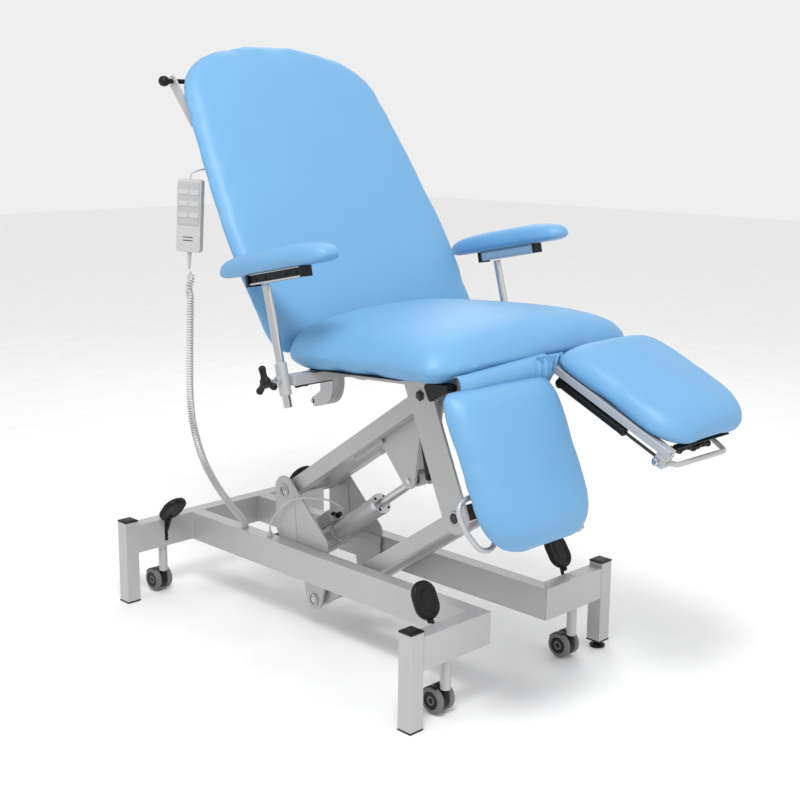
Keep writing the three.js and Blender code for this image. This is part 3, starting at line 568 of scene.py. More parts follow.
def seat_half(t):
    return 350 - 4 * t - 10 * max(0, 1 - t / 0.08) ** 2 - 90 * max(0, (t - 0.88) / 0.12) ** 3


def seat_cushion():
    form = dict(y0=0, y1=-SEAT_LENGTH, edges=lambda t: (-seat_half(t), seat_half(t)), low=0, seam=24,
                top=88, crown=38, squared=True)
    pockets = []
    for _, side in SIDES:
        pockets += [(side * x, -420, 36, 78, 33) for x in HINGE_LUG_X]
        pockets += [(side * x, -470, 22, 40, 19) for x in (36, 264)]
    cushion("seat_pad", "carriage", SEAT, form, 0.0085, 0.010, pockets)
    lining("seat_pad", "carriage", SEAT, dict(form, y0=-26, y1=-SEAT_LENGTH + 108), 0)


BACK_OUTLINE = ((-58, 302), (-44, 334), (0, 350), (120, 360), (260, 360), (390, 350), (543, 334),
                (610, 325), (650, 315), (685, 297), (715, 269), (742, 226), (764, 166), (786, 70))
BACK_LOW, BACK_HIGH, BACK_THICK = -58, 786, 54


def back_edges(t):
    half = lookup(BACK_OUTLINE, BACK_LOW + (BACK_HIGH - BACK_LOW) * t)
    return -half, half


def back_cushion():
    form = dict(y0=BACK_LOW, y1=BACK_HIGH, edges=back_edges, low=-BACK_THICK, seam=-BACK_THICK / 2,
                top=0, crown=8)
    cushion("backrest_pad", "backrest", BACK, form, 0.0085, 0.009)
    lining("backrest_pad", "backrest", BACK, form, -BACK_THICK)


PAD_INNER = ((0, 22), (0.05, 8), (0.15, 1), (0.7, 1), (0.86, 10), (0.95, 34), (1, 70))
PAD_OUTER = ((0, 24), (0.05, 10), (0.15, 3), (0.45, 0), (0.75, 8), (0.88, 29), (0.96, 61), (1, 100))
PAD_LOW = 14


def leg_cushion(name, side):
    def edges(t):
        pair = (8 + lookup(PAD_INNER, t), 350 - lookup(PAD_OUTER, t))
        return pair if side > 0 else (-pair[1], -pair[0])

    form = dict(y0=-44, y1=-400, edges=edges, low=PAD_LOW, seam=25, top=66, crown=16)
    cushion(f"leg_rest_pad_{name}", f"leg_rest_{name}", LEG_REST[name], form, 0.0065, 0.007)
    lining(f"leg_rest_pad_{name}", f"leg_rest_{name}", LEG_REST[name], form, PAD_LOW)


REST_OUTLINE = ((0, 9), (0.06, 20), (0.15, 29), (0.3, 38), (0.5, 45), (0.7, 47), (0.85, 43),
                (0.94, 34), (1, 18))
POST_X = 395.6
REST_TILT = Matrix.Rotation(math.radians(-11.5), 4, "X")


def rest_frame(side):
    return Matrix.Translation((side * POST_X, -131, 983)) @ REST_TILT


def rest_edges(t):
    half = lookup(REST_OUTLINE, t)
    return -half, half


def arm_cushion(name, side):
    form = dict(y0=160, y1=-232, edges=rest_edges, low=0.3, seam=14, top=41, crown=8)
    cushion(f"armrest_pad_{name}", f"arm_rest_{name}", rest_frame(side), form, 0.004, 0.004)


# ------------------------------------------------------------------ cords

CORD_ROUTE = (
    (-342, 233, 880), (-346, 232, 800), (-349, 232, 720), (-350, 233, 640), (-344, 236, 580),
    (-331, 240, 530), (-314, 246, 485), (-292, 253, 440), (-266, 262, 400), (-238, 271, 362),
    (-209, 280, 327), (-180, 289, 294), (-150, 298, 262), (-128, 305, 236),
)
CORD_LEAD_IN = ((-345, 228, 950), (-341, 230, 930), (-347, 232, 905))
CORD_EXIT = (-121, 309, 219)
WIRE_R, HELIX_R, PITCH, TURN_POINTS = 1.9, 8.0, 6.6, 12
LEAD_ROUTE = ((-121, 203, 228), (-120, 198, 262), (-114, 150, 318), (-107, 95, 346),
              (-90, 50, 352), (-60, 26, 344), (-32, 4, 320))


def evenly(points, step):
    """Points a step apart along a line of points."""
    out, left = [points[0]], step
    for a, b in zip(points, points[1:]):
        long = (b - a).length
        while left <= long:
            out.append(a.lerp(b, left / long))
            left += step
        left -= long
    return out


def wound(line):
    """The wire of a curly cord, wound round a line of evenly placed points."""
    out, u = [], Vector((1, 0, 0))
    for i, p in enumerate(line):
        tangent = (line[min(i + 1, len(line) - 1)] - line[max(i - 1, 0)]).normalized()
        u = (u - tangent * u.dot(tangent)).normalized()
        grow = min(1, max(0, i - 8) / 14, (len(line) - 1 - i) / 14)
        r = HELIX_R * grow * grow * (3 - 2 * grow)
        turn = 2 * math.pi * i / TURN_POINTS
        out.append(p + (u * math.cos(turn) + tangent.cross(u) * math.sin(turn)) * r)
    return out


def cord_piece(name, points, r, seg=8):
    bm = bmesh.new()
    tube(bm, points, r, seg)
    bmesh.ops.recalc_face_normals(bm, faces=bm.faces)
    return smooth_object(name, bm, "cord")


def curly_cord():
    route = smooth_line([*CORD_LEAD_IN, *CORD_ROUTE, CORD_EXIT], 30)
    line = evenly(route, PITCH / TURN_POINTS)
    wire = wound(line)
    obj = cord_piece("curly_cord_wire", wire, WIRE_R, 6)
    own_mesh(obj)
    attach(obj, "base")
    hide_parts("curly_cord")


def actuator_lead():
    line = smooth_line(LEAD_ROUTE, 8)
    obj = cord_piece("actuator_lead_wire", line, 2.5, 12)
    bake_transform(obj)
    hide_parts("actuator_lead")


def glands():
    bm = bmesh.new()
    lathe(bm, (-121, 203, 219.2), (0, 0, 1), [(0, 8), (3, 8), (4, 7), (9, 7), (14, 4.5), (18, 3)], 24)
    lathe(bm, (-121, 309, 219.2), (0, 0, 1), [(0, 9), (3, 9), (4, 7), (9, 5), (13, 3)], 24)
    make("rail_glands", bm, "base", "key")


# ------------------------------------------------------------------ base

LEG_X, LEG_Y, LEG_TOP, FOOT_LIFT, CASTER_X = 342, 549, 230, 18, 230
CORNERS = (
    ("front_left", -1, -1, 66, 256, 25), ("front_right", 1, -1, 51, 270, 34),
    ("rear_left", -1, 1, 54, 254, 42), ("rear_right", 1, 1, 60, 262, 42),
)


def bolt(bm, at, direction, size=6, head=4):
    """A domed hexagon-socket screw head with a washer."""
    d = Vector(direction).normalized()
    lathe(bm, at, d, [(0, size * 1.25), (1, size * 1.25), (1.2, size), (head * 0.75, size),
                      (head, size * 0.7), (head, size * 0.42), (head - 1.5, size * 0.4)], 24)


def base_frame():
    for side, _ in SIDES:
        bevelled(f"base_rail_{side}", "base", "paint")
        bevelled(f"front_beam_{side}", "base", "paint")
    bevelled("rear_beam", "base", "paint")
    for name, side, end, *_ in CORNERS:
        bevelled(f"leg_{name}", "base", "paint")
        low = FOOT_LIFT if name == "front_right" else 0
        bm = bmesh.new()
        box(bm, (41, 41, 4), (side * LEG_X, end * LEG_Y, LEG_TOP + 2))
        box(bm, (30, 30, 2.2), (side * LEG_X, end * LEG_Y, LEG_TOP + 4))
        box(bm, (41.6, 41.6, 4), (side * LEG_X, end * LEG_Y, low + 2.1))
        make(f"leg_caps_{name}", bm, "base", "black", bevel=0.8)
        bm = bmesh.new()
        at = Vector((side * CASTER_X, end * LEG_Y, 0))
        lathe(bm, at + Vector((0, 0, 61.5)), (0, 0, 1), [(0, 10), (1, 12.4), (20, 12.4), (76, 12.4),
                                                          (77.5, 14)], 32)
        lathe(bm, at + Vector((0, 0, 219)), (0, 0, 1), [(0, 9), (1.5, 8.6), (2, 7), (2.2, 3)], 28)
        make(f"caster_sleeve_{name}", bm, "base", "paint")
        bm = bmesh.new()
        for x in (-6.8, 6.8):
            tube(bm, bent_line([at + Vector((x * part, -end * 20.6, z))
                                for part, z in ((0.3, 151), (1, 153), (1, 213), (0.3, 215))],
                               1.5, 3), 0.9, 8)
        make(f"slot_rim_{name}", bm, "base", "paint")


def weld_beads():
    bm = bmesh.new()
    for _, side in SIDES:
        for x in (101, 141):
            line = [Vector((side * x, 528.6, z)) for z in range(144, 216, 3)]
            tube(bm, line, 2, 8, [1.6 + 0.5 * math.sin(i * 2.1) for i in range(len(line))])
        for end in (-1, 1):
            for y in (529, 569):
                line = [Vector((side * 321.6, end * y, z)) for z in range(143, 217, 3)]
                tube(bm, line, 2, 8, [1.3 + 0.4 * math.sin(i * 2.3 + y) for i in range(len(line))])
        line = [Vector((side * 91.5, y, 219)) for y in range(-4, 196, 4)]
        tube(bm, line, 2, 8, [2.0 + 0.5 * math.sin(i * 1.9) for i in range(len(line))])
    make("weld_beads", bm, "base", "paint")


def levelling_foot():
    bm = bmesh.new()
    at = (LEG_X, -LEG_Y, 0)
    lathe(bm, at, (0, 0, 1), [(0, 16.5), (0.6, 18.5), (2.5, 20), (5, 20), (7, 18), (9, 12), (11, 9.5),
                              (12, 8), (17.6, 8)], 40)
    lathe(bm, (LEG_X, -LEG_Y, 12.5), (0, 0, 1), [(0, 10.5), (0.8, 11.5), (4, 11.5), (4.8, 10.5)], 6)
    make("levelling_foot_disc", bm, "foot", "black", replaces="levelling_foot")


def rounded_ring(w, h, r, inset, z, steps=9):
    """A rounded rectangle at a height, inset from its full size."""
    hw, hh = w / 2 - inset, h / 2 - inset
    r = max(1.0, r - inset)
    points = []
    for cx, cy, start in ((1, 1, 0), (-1, 1, 90), (-1, -1, 180), (1, -1, 270)):
        for i in range(steps):
            a = math.radians(start + 90 * i / (steps - 1))
            points.append(Vector((cx * (hw - r) + r * math.cos(a), cy * (hh - r) + r * math.sin(a), z)))
    return points


def pedals():
    for name, side, end, inward, height, lean in CORNERS:
        bm = bmesh.new()
        profile = ((9, -9), (5, -8.6), (2, -7), (0.4, -4), (0, 0), (0.4, 4), (2, 7), (5, 8.8), (8, 9),
                   (10.5, 8), (12, 6.2), (15, 5.2), (20, 5.4), (22, 6.8), (24, 7.2), (28, 7))
        loft(bm, [rounded_ring(71, 91, 34, inset, z) for inset, z in profile])
        lathe(bm, (0, 10, 6.6), (0, 0, 1), [(0, 11), (0.8, 11), (1.2, 9.5), (0.9, 8)], 28)
        lathe(bm, (0, -38, -4), (0, -1, -0.1), [(0, 9), (8, 8), (13, 6.4), (15, 5)], 20)
        local = (Matrix.Translation((side * CASTER_X, end * (LEG_Y - inward), height))
                 @ Matrix.Rotation(math.pi / 2 + end * math.radians(lean), 4, "X"))
        face = Matrix.Rotation(math.pi, 4, "Y") if end > 0 else Matrix()
        make(f"pedal_pad_{name}", bm, f"pedal_{name}", "black", local @ face,
             replaces=f"pedal_{name}")
        bm = bmesh.new()
        y = end * (LEG_Y - inward)
        root = (side * CASTER_X, y + end * 12 * math.sin(math.radians(lean)), height - 22)
        hub = (side * CASTER_X, end * (LEG_Y - 8), 180)
        tube(bm, smooth_line([hub, (hub[0], end * (LEG_Y - 22), 186), root], 6), 4.4, 16)
        make(f"pedal_stalk_{name}", bm, f"pedal_{name}", "black")


def casters():
    for name, side, end, *_ in CORNERS:
        x, y = side * CASTER_X, end * LEG_Y
        bm = bmesh.new()
        lathe(bm, (x, y, 59), (0, 0, 1), [(0, 5.5), (1, 6.5), (72, 6.5), (73, 5.5)], 28)
        make(f"stem_rod_{name}", bm, f"stem_{name}", "chrome",
             replaces=f"caster_stem_{name}")
        centre = Vector((x, y + 22, 33.5))
        bm = bmesh.new()
        for way in (-1, 1):
            lathe(bm, centre, (way, 0, 0), [(0, 29), (7.6, 29), (8.5, 28.2), (8.5, 20)], 44)
        lathe(bm, (x, y, 37), (0, 0, 1), [(0, 9), (14, 9), (17, 8.4), (21.4, 7)], 28)
        for way in (-1, 1):
            arc = []
            for i in range(15):
                a = math.radians(28 + 84 * i / 14)
                arc.append((centre.y + 33 * math.cos(a), centre.z + 33 * math.sin(a)))
            arc += [(centre.y + (py - centre.y) * 0.965, centre.z + (pz - centre.z) * 0.965)
                    for py, pz in arc[::-1]]
            plate(bm, arc, x + way * 6, x + way * 24)
        make(f"fork_hood_{name}", bm, f"fork_{name}", "black",
             replaces=f"caster_fork_{name}", bevel=0.5)
        bm = bmesh.new()
        hubs = bmesh.new()
        rod(hubs, centre - Vector((13, 0, 0)), centre + Vector((13, 0, 0)), 4.8)
        for way in (-1, 1):
            near = centre + Vector((way * 9.3, 0, 0))
            lathe(bm, near, (way, 0, 0), [(0, 18), (0, 26), (1, 29), (3.5, 31.1), (6, 31.5), (11, 31.5),
                                          (13.5, 31), (15.8, 29), (17, 26), (17, 22), (16, 21)], 48)
            lathe(hubs, near, (way, 0, 0), [(0, 19), (15.4, 21.4), (17.2, 20.4), (17.6, 18), (16.6, 15),
                                            (15.6, 8), (16.6, 6), (17, 3)], 40)
        make(f"tyres_{name}", bm, f"wheels_{name}", "tyre", replaces=f"caster_wheels_{name}")
        make(f"wheel_hubs_{name}", hubs, f"wheels_{name}", "black")


# ------------------------------------------------------------------ lift

def joint_end(paint_bm, dark_bm, yz, x, way):
    """The bush and recessed shaft end that show on the outside of a pivot plate."""
    at = Vector((x, *yz))
    washer(paint_bm, at, (way, 0, 0), 17.5, 12.8, 4)
    lathe(dark_bm, at, (way, 0, 0), [(0.2, 12.9), (0.3, 9.6), (2.2, 9), (2.6, 7), (2.2, 3), (2.2, 0.5)], 36)


def base_bracket():
    bm, dark = bmesh.new(), bmesh.new()
    towers = hull([(*P1, 40), (162, 232, 34), (20, 232, 26)])
    web = hull([(*ACT_BASE, 30), (162, 232, 34), (20, 232, 26), (30, 160, 26)])
    lug = hull([(*P2, 29), (66, 170, 34), (22, 170, 26)])
    slim = hull([(*P1, 38), (166, 250, 36), (150, 226, 34)])
    for _, side in SIDES:
        plate(bm, towers, side * 94.5, side * 99)
        plate(bm, web, side * 93, side * 98.2)
        plate(bm, lug, side * 92.5, side * 100.2)
        plate(bm, slim, side * 92.5, side * 100.5)
        joint_end(bm, dark, P1, side * 100.5, side)
        joint_end(bm, dark, P2, side * 100.2, side)
    for yz, r in ((P1, 12), (P2, 12), (ACT_BASE, 8)):
        rod(bm, (-96, *yz), (96, *yz), r)
    make("bracket_plates", bm, "base", "paint", replaces="base_bracket", bevel=0.9)
    make("bracket_shaft_ends", dark, "base", "chrome")


def beam(bm, a, b, x, width, depth, over=0.0):
    a, b = Vector((0, *a)), Vector((0, *b))
    turn = Matrix.Rotation(math.atan2(b.z - a.z, b.y - a.y), 4, "X")
    middle = (a + b) / 2
    box(bm, (width, (b - a).length + 2 * over, depth), (x, middle.y, middle.z), turn)


def between(a, b, t):
    return (a[0] + (b[0] - a[0]) * t, a[1] + (b[1] - a[1]) * t)


def arm_piece(name, body, node, a, b, ties, extra=None):
    bm, plugs = bmesh.new(), bmesh.new()
    for _, side in SIDES:
        beam(bm, a, b, side * 62, 40, 40, 20)
        for here, there in ((a, b), (b, a)):
            beam(plugs, between(here, there, -0.036), between(here, there, -0.033), side * 62, 38, 38)
    for end in (a, b):
        lathe(bm, (-82, *end), (1, 0, 0), [(0, 17), (1, 17.6), (163, 17.6), (164, 17)], 40)
    for t0, t1, thick in ties:
        beam(bm, between(a, b, t0), between(a, b, t1), 0, 86, thick)
    if extra:
        extra(bm)
    make(name, bm, body, "paint", replaces=node, bevel=2.0)
    make(f"{name}_plugs", plugs, body, "black", bevel=0.6)


def clevis(bm):
    outline = hull([(*ACT_PIN, 22), (*between(P1, P3, 0.60), 12), (*between(P1, P3, 0.88), 12)])
    for _, side in SIDES:
        plate(bm, outline, side * 31.2, side * 38.8)
    rod(bm, (-38, *ACT_PIN), (38, *ACT_PIN), 6)


def arms():
    arm_piece("upper_arm_tubes", "upper_arm", "upper_arm", P1, P3,
              ((0.53, 0.63, 10), (0.84, 0.88, 10)), clevis)
    arm_piece("lower_arm_tubes", "lower_arm", "lower_arm", P2, P4, ((0.11, 0.17, 12), (0.83, 0.89, 12)))
    bm, pale = bmesh.new(), bmesh.new()
    for way in (-1, 1):
        lathe(bm, (way * 39, *ACT_PIN), (way, 0, 0),
              [(0, 9.5), (1.4, 9.5), (1.6, 7), (4, 7), (4.6, 6), (4.6, 2)], 28)
    make("actuator_pin_heads", bm, "upper_arm", "chrome")
    beam(pale, between(P1, P3, 0.42), between(P1, P3, 0.62), -46, 6, 12)
    beam(pale, between(P1, P3, 0.42), between(P1, P3, 0.62), 46, 6, 12)
    make("upper_arm_ribs", pale, "upper_arm", "paint",
         Matrix.Translation((0, -10, -22)), bevel=1)


def actuator():
    local = hinged(*ACT_BASE, math.degrees(math.atan2(261, -366)))
    bm = bmesh.new()
    lathe(bm, (0, 40, 0), (0, 1, 0), [(0, 26), (1, 27), (232, 27), (233, 26.4)], 64)
    lathe(bm, (0, 18, 0), (0, 1, 0), [(0, 26), (4, 31), (10, 34), (70, 34), (76, 32), (79, 27.5)], 64)
    lathe(bm, (0, 0, 0), (0, 1, 0), [(-14, 11), (-8, 15), (4, 17), (20, 22), (26, 25)], 40)
    rod(bm, (-15, 0, 0), (15, 0, 0), 18, soft=1.5, seg=44)
    make("actuator_body", bm, "actuator_cylinder", "paint", local,
         replaces="actuator_cylinder", bevel=0.5)
    bm = bmesh.new()
    box(bm, (50, 62, 36), (0, 76, -45))
    box(bm, (44, 54, 10), (0, 76, -26))
    make("actuator_motor", bm, "actuator_cylinder", "paint", local, bevel=5)
    bm = bmesh.new()
    lathe(bm, (0, 273, 0), (0, 1, 0),
          [(0, 27.4), (1, 28.5), (13, 28.5), (14.4, 27), (14.4, 13), (13.4, 12)], 64)
    make("actuator_cap", bm, "actuator_cylinder", "alu", local)
    bm = bmesh.new()
    for i in range(4):
        a = math.radians(45 + 90 * i)
        bolt(bm, (21.5 * math.cos(a), 287, 21.5 * math.sin(a)), (0, 1, 0), 3.0, 2.4)
    for x, y in ((-14, 58), (14, 58), (-14, 96), (14, 96)):
        lathe(bm, (x, y, -62.5), (0, 0, -1), [(0, 4), (1, 4), (1.4, 3), (0.8, 1.8)], 20)
    rod(bm, (0, 107, -40), (0, 121, -40), 8, 6.5)
    rod(bm, (-14, 107, -48), (-14, 116, -48), 5, 4)
    rod(bm, (25, 70, -44), (34, 70, -44), 9, 7.5)
    make("actuator_plugs", bm, "actuator_cylinder", "black", local)
    bm = bmesh.new()
    lathe(bm, (0, 176, 0), (0, 1, 0), [(0, 11), (240, 11), (256, 11)], 44)
    make("actuator_rod_bar", bm, "actuator_rod", "alu", local)
    bm = bmesh.new()
    d, u, v = axes_along((1, 0, 0))
    centre = Vector((0, 449.5, 0))
    rings = [ring(centre + d * x, u, v, r, seg=48) for x, r in
             ((-14, 14), (-14, 18.5), (-12.6, 20), (12.6, 20), (14, 18.5), (14, 14), (13, 13), (-13, 13))]
    loft(bm, [*rings, rings[0]], caps=False)
    bmesh.ops.remove_doubles(bm, verts=bm.verts, dist=1e-4)
    lathe(bm, (0, 412, 0), (0, 1, 0), [(0, 11), (4, 12.6), (19, 12.6)], 40)
    make("actuator_rod_eye", bm, "actuator_rod", "paint", local,
         replaces="actuator_rod")


# ------------------------------------------------------------------ seat carriage

BACK_HINGE = (-84, 752)
POST_LOW, POST_TOP = (-205, 682), (-131, 958)


def seat_tube_z(y):
    return 757 + (-141 - y) * math.tan(math.radians(SEAT_TILT)) - 17


def post_at(x, t):
    y, z = between(POST_LOW, POST_TOP, t)
    return Vector((x, y, z))


def carriage():
    bm = bmesh.new()
    for _, side in SIDES:
        beam(bm, (-150, seat_tube_z(-150)), (-560, seat_tube_z(-560)), side * 200, 30, 30)
        box(bm, (POST_X - 202, 32, 24), (side * (POST_X + 178) / 2, -198, seat_tube_z(-198)))
        for x in HINGE_LUG_X:
            plate(bm, hull([(*LEG_HINGE, 11), (-552, seat_tube_z(-552) - 2, 12)]),
                  side * x - 4, side * x + 4)
        plate(bm, hull([(*BACK_HINGE, 14), (-160, seat_tube_z(-160), 11)]), side * 195, side * 205)
    for y, width, depth in ((-544, 530, 28), (-302, 400, 30), (-166, 400, 30)):
        box(bm, (width, 30, depth), (0, y, seat_tube_z(y) - (30 - depth) / 2))
    make("seat_frame_tubes", bm, "carriage", "paint", replaces="seat_carriage",
         bevel=1.8)
    bm, dark = bmesh.new(), bmesh.new()
    head = seat_tube_z(-300) - 5
    for _, side in SIDES:
        plate(bm, hull([(*P4, 40), (-280, head, 20), (-324, head, 20)]), side * 88, side * 96)
        joint_end(bm, dark, P4, side * 96, side)
        lathe(dark, (side * 96, *P3), (side, 0, 0),
              [(0, 14), (2, 14), (3, 12.6), (3, 9), (7, 9), (8, 7), (8, 3)], 6)
    for yz in (P3, P4):
        rod(bm, (-92, *yz), (92, *yz), 12)
    make("front_plates", bm, "carriage", "paint", bevel=1.2)
    make("front_plate_bolts", dark, "carriage", "dark", bevel=0.5)
    bm = bmesh.new()
    link = hull([(-318, 477, 8.5), (-285, 640, 9.5), (-300, 700, 9.5)])
    plate(bm, link, -58 + 3, -58 + 9)
    lathe(bm, (-49, -318, 477), (-1, 0, 0), [(0, 7), (8, 7), (9, 6), (9, 3)], 28)
    make("lock_link", bm, "carriage", "black", bevel=0.8)
    bm, sleeves, pins = bmesh.new(), bmesh.new(), bmesh.new()
    for _, side in SIDES:
        low, high = post_at(side * POST_X, 0.1), post_at(side * POST_X, 0.36)
        d, u, v = axes_along(high - low)
        long = (high - low).length
        rings = [ring(low + d * s, u, v, r, seg=44) for s, r in
                 ((0, 10.6), (0, 13), (1.2, 14), (long - 1.2, 14), (long, 13), (long, 10.6))]
        loft(sleeves, [*rings, rings[0]], caps=False)
        at = post_at(side * (POST_X + 13.5), 0.23)
        lathe(sleeves, at, (side, 0, 0), [(0, 9), (6, 9), (7, 8), (7, 4.2)], 28)
        box(bm, (38, 27, 3), (side * 190, -240, seat_tube_z(-240) - 16.8))
        for x in HINGE_LUG_X:
            rod(pins, (side * x - 13, *LEG_HINGE), (side * x + 13, *LEG_HINGE), 6, soft=0.8)
        rod(pins, (side * 195, *BACK_HINGE), (side * 227, *BACK_HINGE), 7, soft=0.8)
        washer(pins, (side * 227, *BACK_HINGE), (side, 0, 0), 11, 4, 2)
        bolt(pins, (side * 195, *BACK_HINGE), (-side, 0, 0), 8, 5)
    bmesh.ops.remove_doubles(sleeves, verts=sleeves.verts, dist=1e-4)
    make("post_sleeves", sleeves, "carriage", "paint")
    make("seat_frame_tabs", bm, "carriage", "paint", bevel=0.8)
    make("carriage_pins", pins, "carriage", "chrome")
    bm = bmesh.new()
    for _, side in SIDES:
        for y in (-562.5,):
            box(bm, (27, 4, 27), (side * 200, y, seat_tube_z(y)))
        box(bm, (4, 27, 25), (side * 266.5, -544, seat_tube_z(-544) - 1))
    make("tube_plugs", bm, "carriage", "black", bevel=1.2)
    bm = bmesh.new()
    at = Vector((0, -148, 716))
    tube(bm, bent_line([at + Vector((x, 0, 0)) for x in (-215, -300, -326)], 6), 5, 20)
    lathe(bm, at + Vector((-288, 0, 0)), (-1, 0, 0), [(0, 5.4), (2, 6.8), (6, 7), (12, 6.2), (20, 6.2),
                                                       (30, 7.1), (36, 7), (38.2, 5), (38.6, 2)], 32)
    make("release_lever_bar", bm, "release_lever", "black",
         replaces="backrest_release_lever")


def hinge_brackets_and_painted_shadow():
    """Black brackets where the leg rests hang from the seat, made large enough that their black also paints
    the shadow under the seat's front corners.
    """
    bm = bmesh.new()
    for _, side in SIDES:
        # The outline and the 30 mm thickness reach past the real bracket: the extra black is painted shadow
        # under the seat's front corner.
        outline = hull([(-602, 772, 9), (-552, 769, 9), (-562, 748, 8)])
        plate(bm, outline, side * 276, side * 306)
    make("leg_hinge_brackets_and_painted_shadow", bm, "carriage", "black", bevel=0.8)


# ------------------------------------------------------------------ back rest

ROLL_AXIS = (345, 1409)


def to_back(y, z):
    p = BACK.inverted() @ Vector((0, y, z))
    return p.y, p.z


def curl():
    """The outline of the crank that curls back to a small eye."""
    spine = [(-44, 826), (-52, 780), (-62, 730), (-80, 694), (-74, 658), (-44, 640), (-30, 636)]
    widths = [14, 18, 20, 24, 20, 14, 12]
    line = smooth_line([Vector((0, y, z)) for y, z in spine], 6)
    left, right = [], []
    for i, p in enumerate(line):
        t = (line[min(i + 1, len(line) - 1)] - line[max(i - 1, 0)]).normalized()
        side = Vector((0, -t.z, t.y))
        at = i / (len(line) - 1) * (len(widths) - 1)
        k = min(int(at), len(widths) - 2)
        w = widths[k] + (widths[k + 1] - widths[k]) * (at - k)
        left.append(p + side * w)
        right.append(p - side * w)
    return [to_back(p.y, p.z) for p in left + right[::-1]]


def backrest_frame():
    depth = -BACK_THICK - 14
    hinge, roll = to_back(*BACK_HINGE), to_back(*ROLL_AXIS)
    bm, pins = bmesh.new(), bmesh.new()
    for _, side in SIDES:
        box(bm, (25, 660, 25), (side * 230, 340, depth))
        plate(bm, hull([(*hinge, 12.5), (24, depth, 12), (60, depth, 12)]), side * 218, side * 226)
        arm = hull([(*roll, 15), (roll[0] - 84, depth - 2, 11), (roll[0] - 130, depth, 9)])
        plate(bm, arm, side * 295.5, side * 300.5)
        box(bm, (80, 26, 10), (side * 262, roll[0] - 112, depth + 4))
        washer(pins, (side * 300.5, *roll), (side, 0, 0), 10, 6.3, 1.8)
        for s in (90, 300, 440, 600):
            bolt(pins, (side * 230, s, depth - 12.5), (0, 0, -1), 5, 3.2)
    for s in (22, 380, 658):
        box(bm, (470, 25, 25), (0, s, depth))
    make("backrest_tubes", bm, "backrest", "paint", BACK,
         replaces="backrest_frame", bevel=1.6)
    make("backrest_bolts", pins, "backrest", "chrome", BACK)
    bm = bmesh.new()
    outline = curl()
    plate(bm, outline, -170, -166)
    plate(bm, outline, -134, -130)
    eye = to_back(-30, 637)
    rod(bm, (-170, *eye), (-130, *eye), 7)
    rod(bm, (-168, *to_back(-70, 700)), (-132, *to_back(-70, 700)), 6)
    web = [to_back(y, z) for y, z in ((-30, 828), (-40, 780), (-50, 735), (-66, 704), (-76, 708), (-68, 745),
                                      (-56, 790), (-46, 826))]
    plate(bm, web, -166, -134)
    make("crank_plates", bm, "backrest", "paint", BACK, bevel=0.8)
    bm = bmesh.new()
    for _, side in SIDES:
        box(bm, (20, 4, 20), (side * 230, 671.5, depth))
    for s in (22, 380, 658):
        for _, side in SIDES:
            box(bm, (4, 20, 20), (side * 236.5, s, depth))
    make("backrest_plugs", bm, "backrest", "black", BACK, bevel=1)
    bm = bmesh.new()
    rod(bm, (-318, *roll), (310, *roll), 6, soft=0.8)
    lathe(bm, (-337, *roll), (1, 0, 0), [(0, 4), (1.5, 8), (5, 11.5), (10, 13), (16, 13), (21, 11), (25, 8),
                                         (26, 6.4)], 36)
    lathe(bm, (311, *roll), (-1, 0, 0), [(0, 7), (1, 8.4), (8, 8.4), (9, 7)], 28)
    make("roll_rod_bar", bm, "roll_rod", "black", BACK, replaces="paper_roll_rod")


# ------------------------------------------------------------------ leg rests

BARS = ((24, 350), (274, 298))
BAR_START, BAR_Z, STRUT_Z = 46, 4, -21
HANDLES = {
    "right": ((30, -388, -21), (48, -406, -21), (236, -408, -21), (230, -346, -11), (268, -330, 1)),
    "left": ((-268, -330, -1), (-286, -378, -9), (-324, -374, -11), (-350, -326, -11), (-356, -280, -11),
             (-334, -262, -7), (-274, -262, 1)),
}


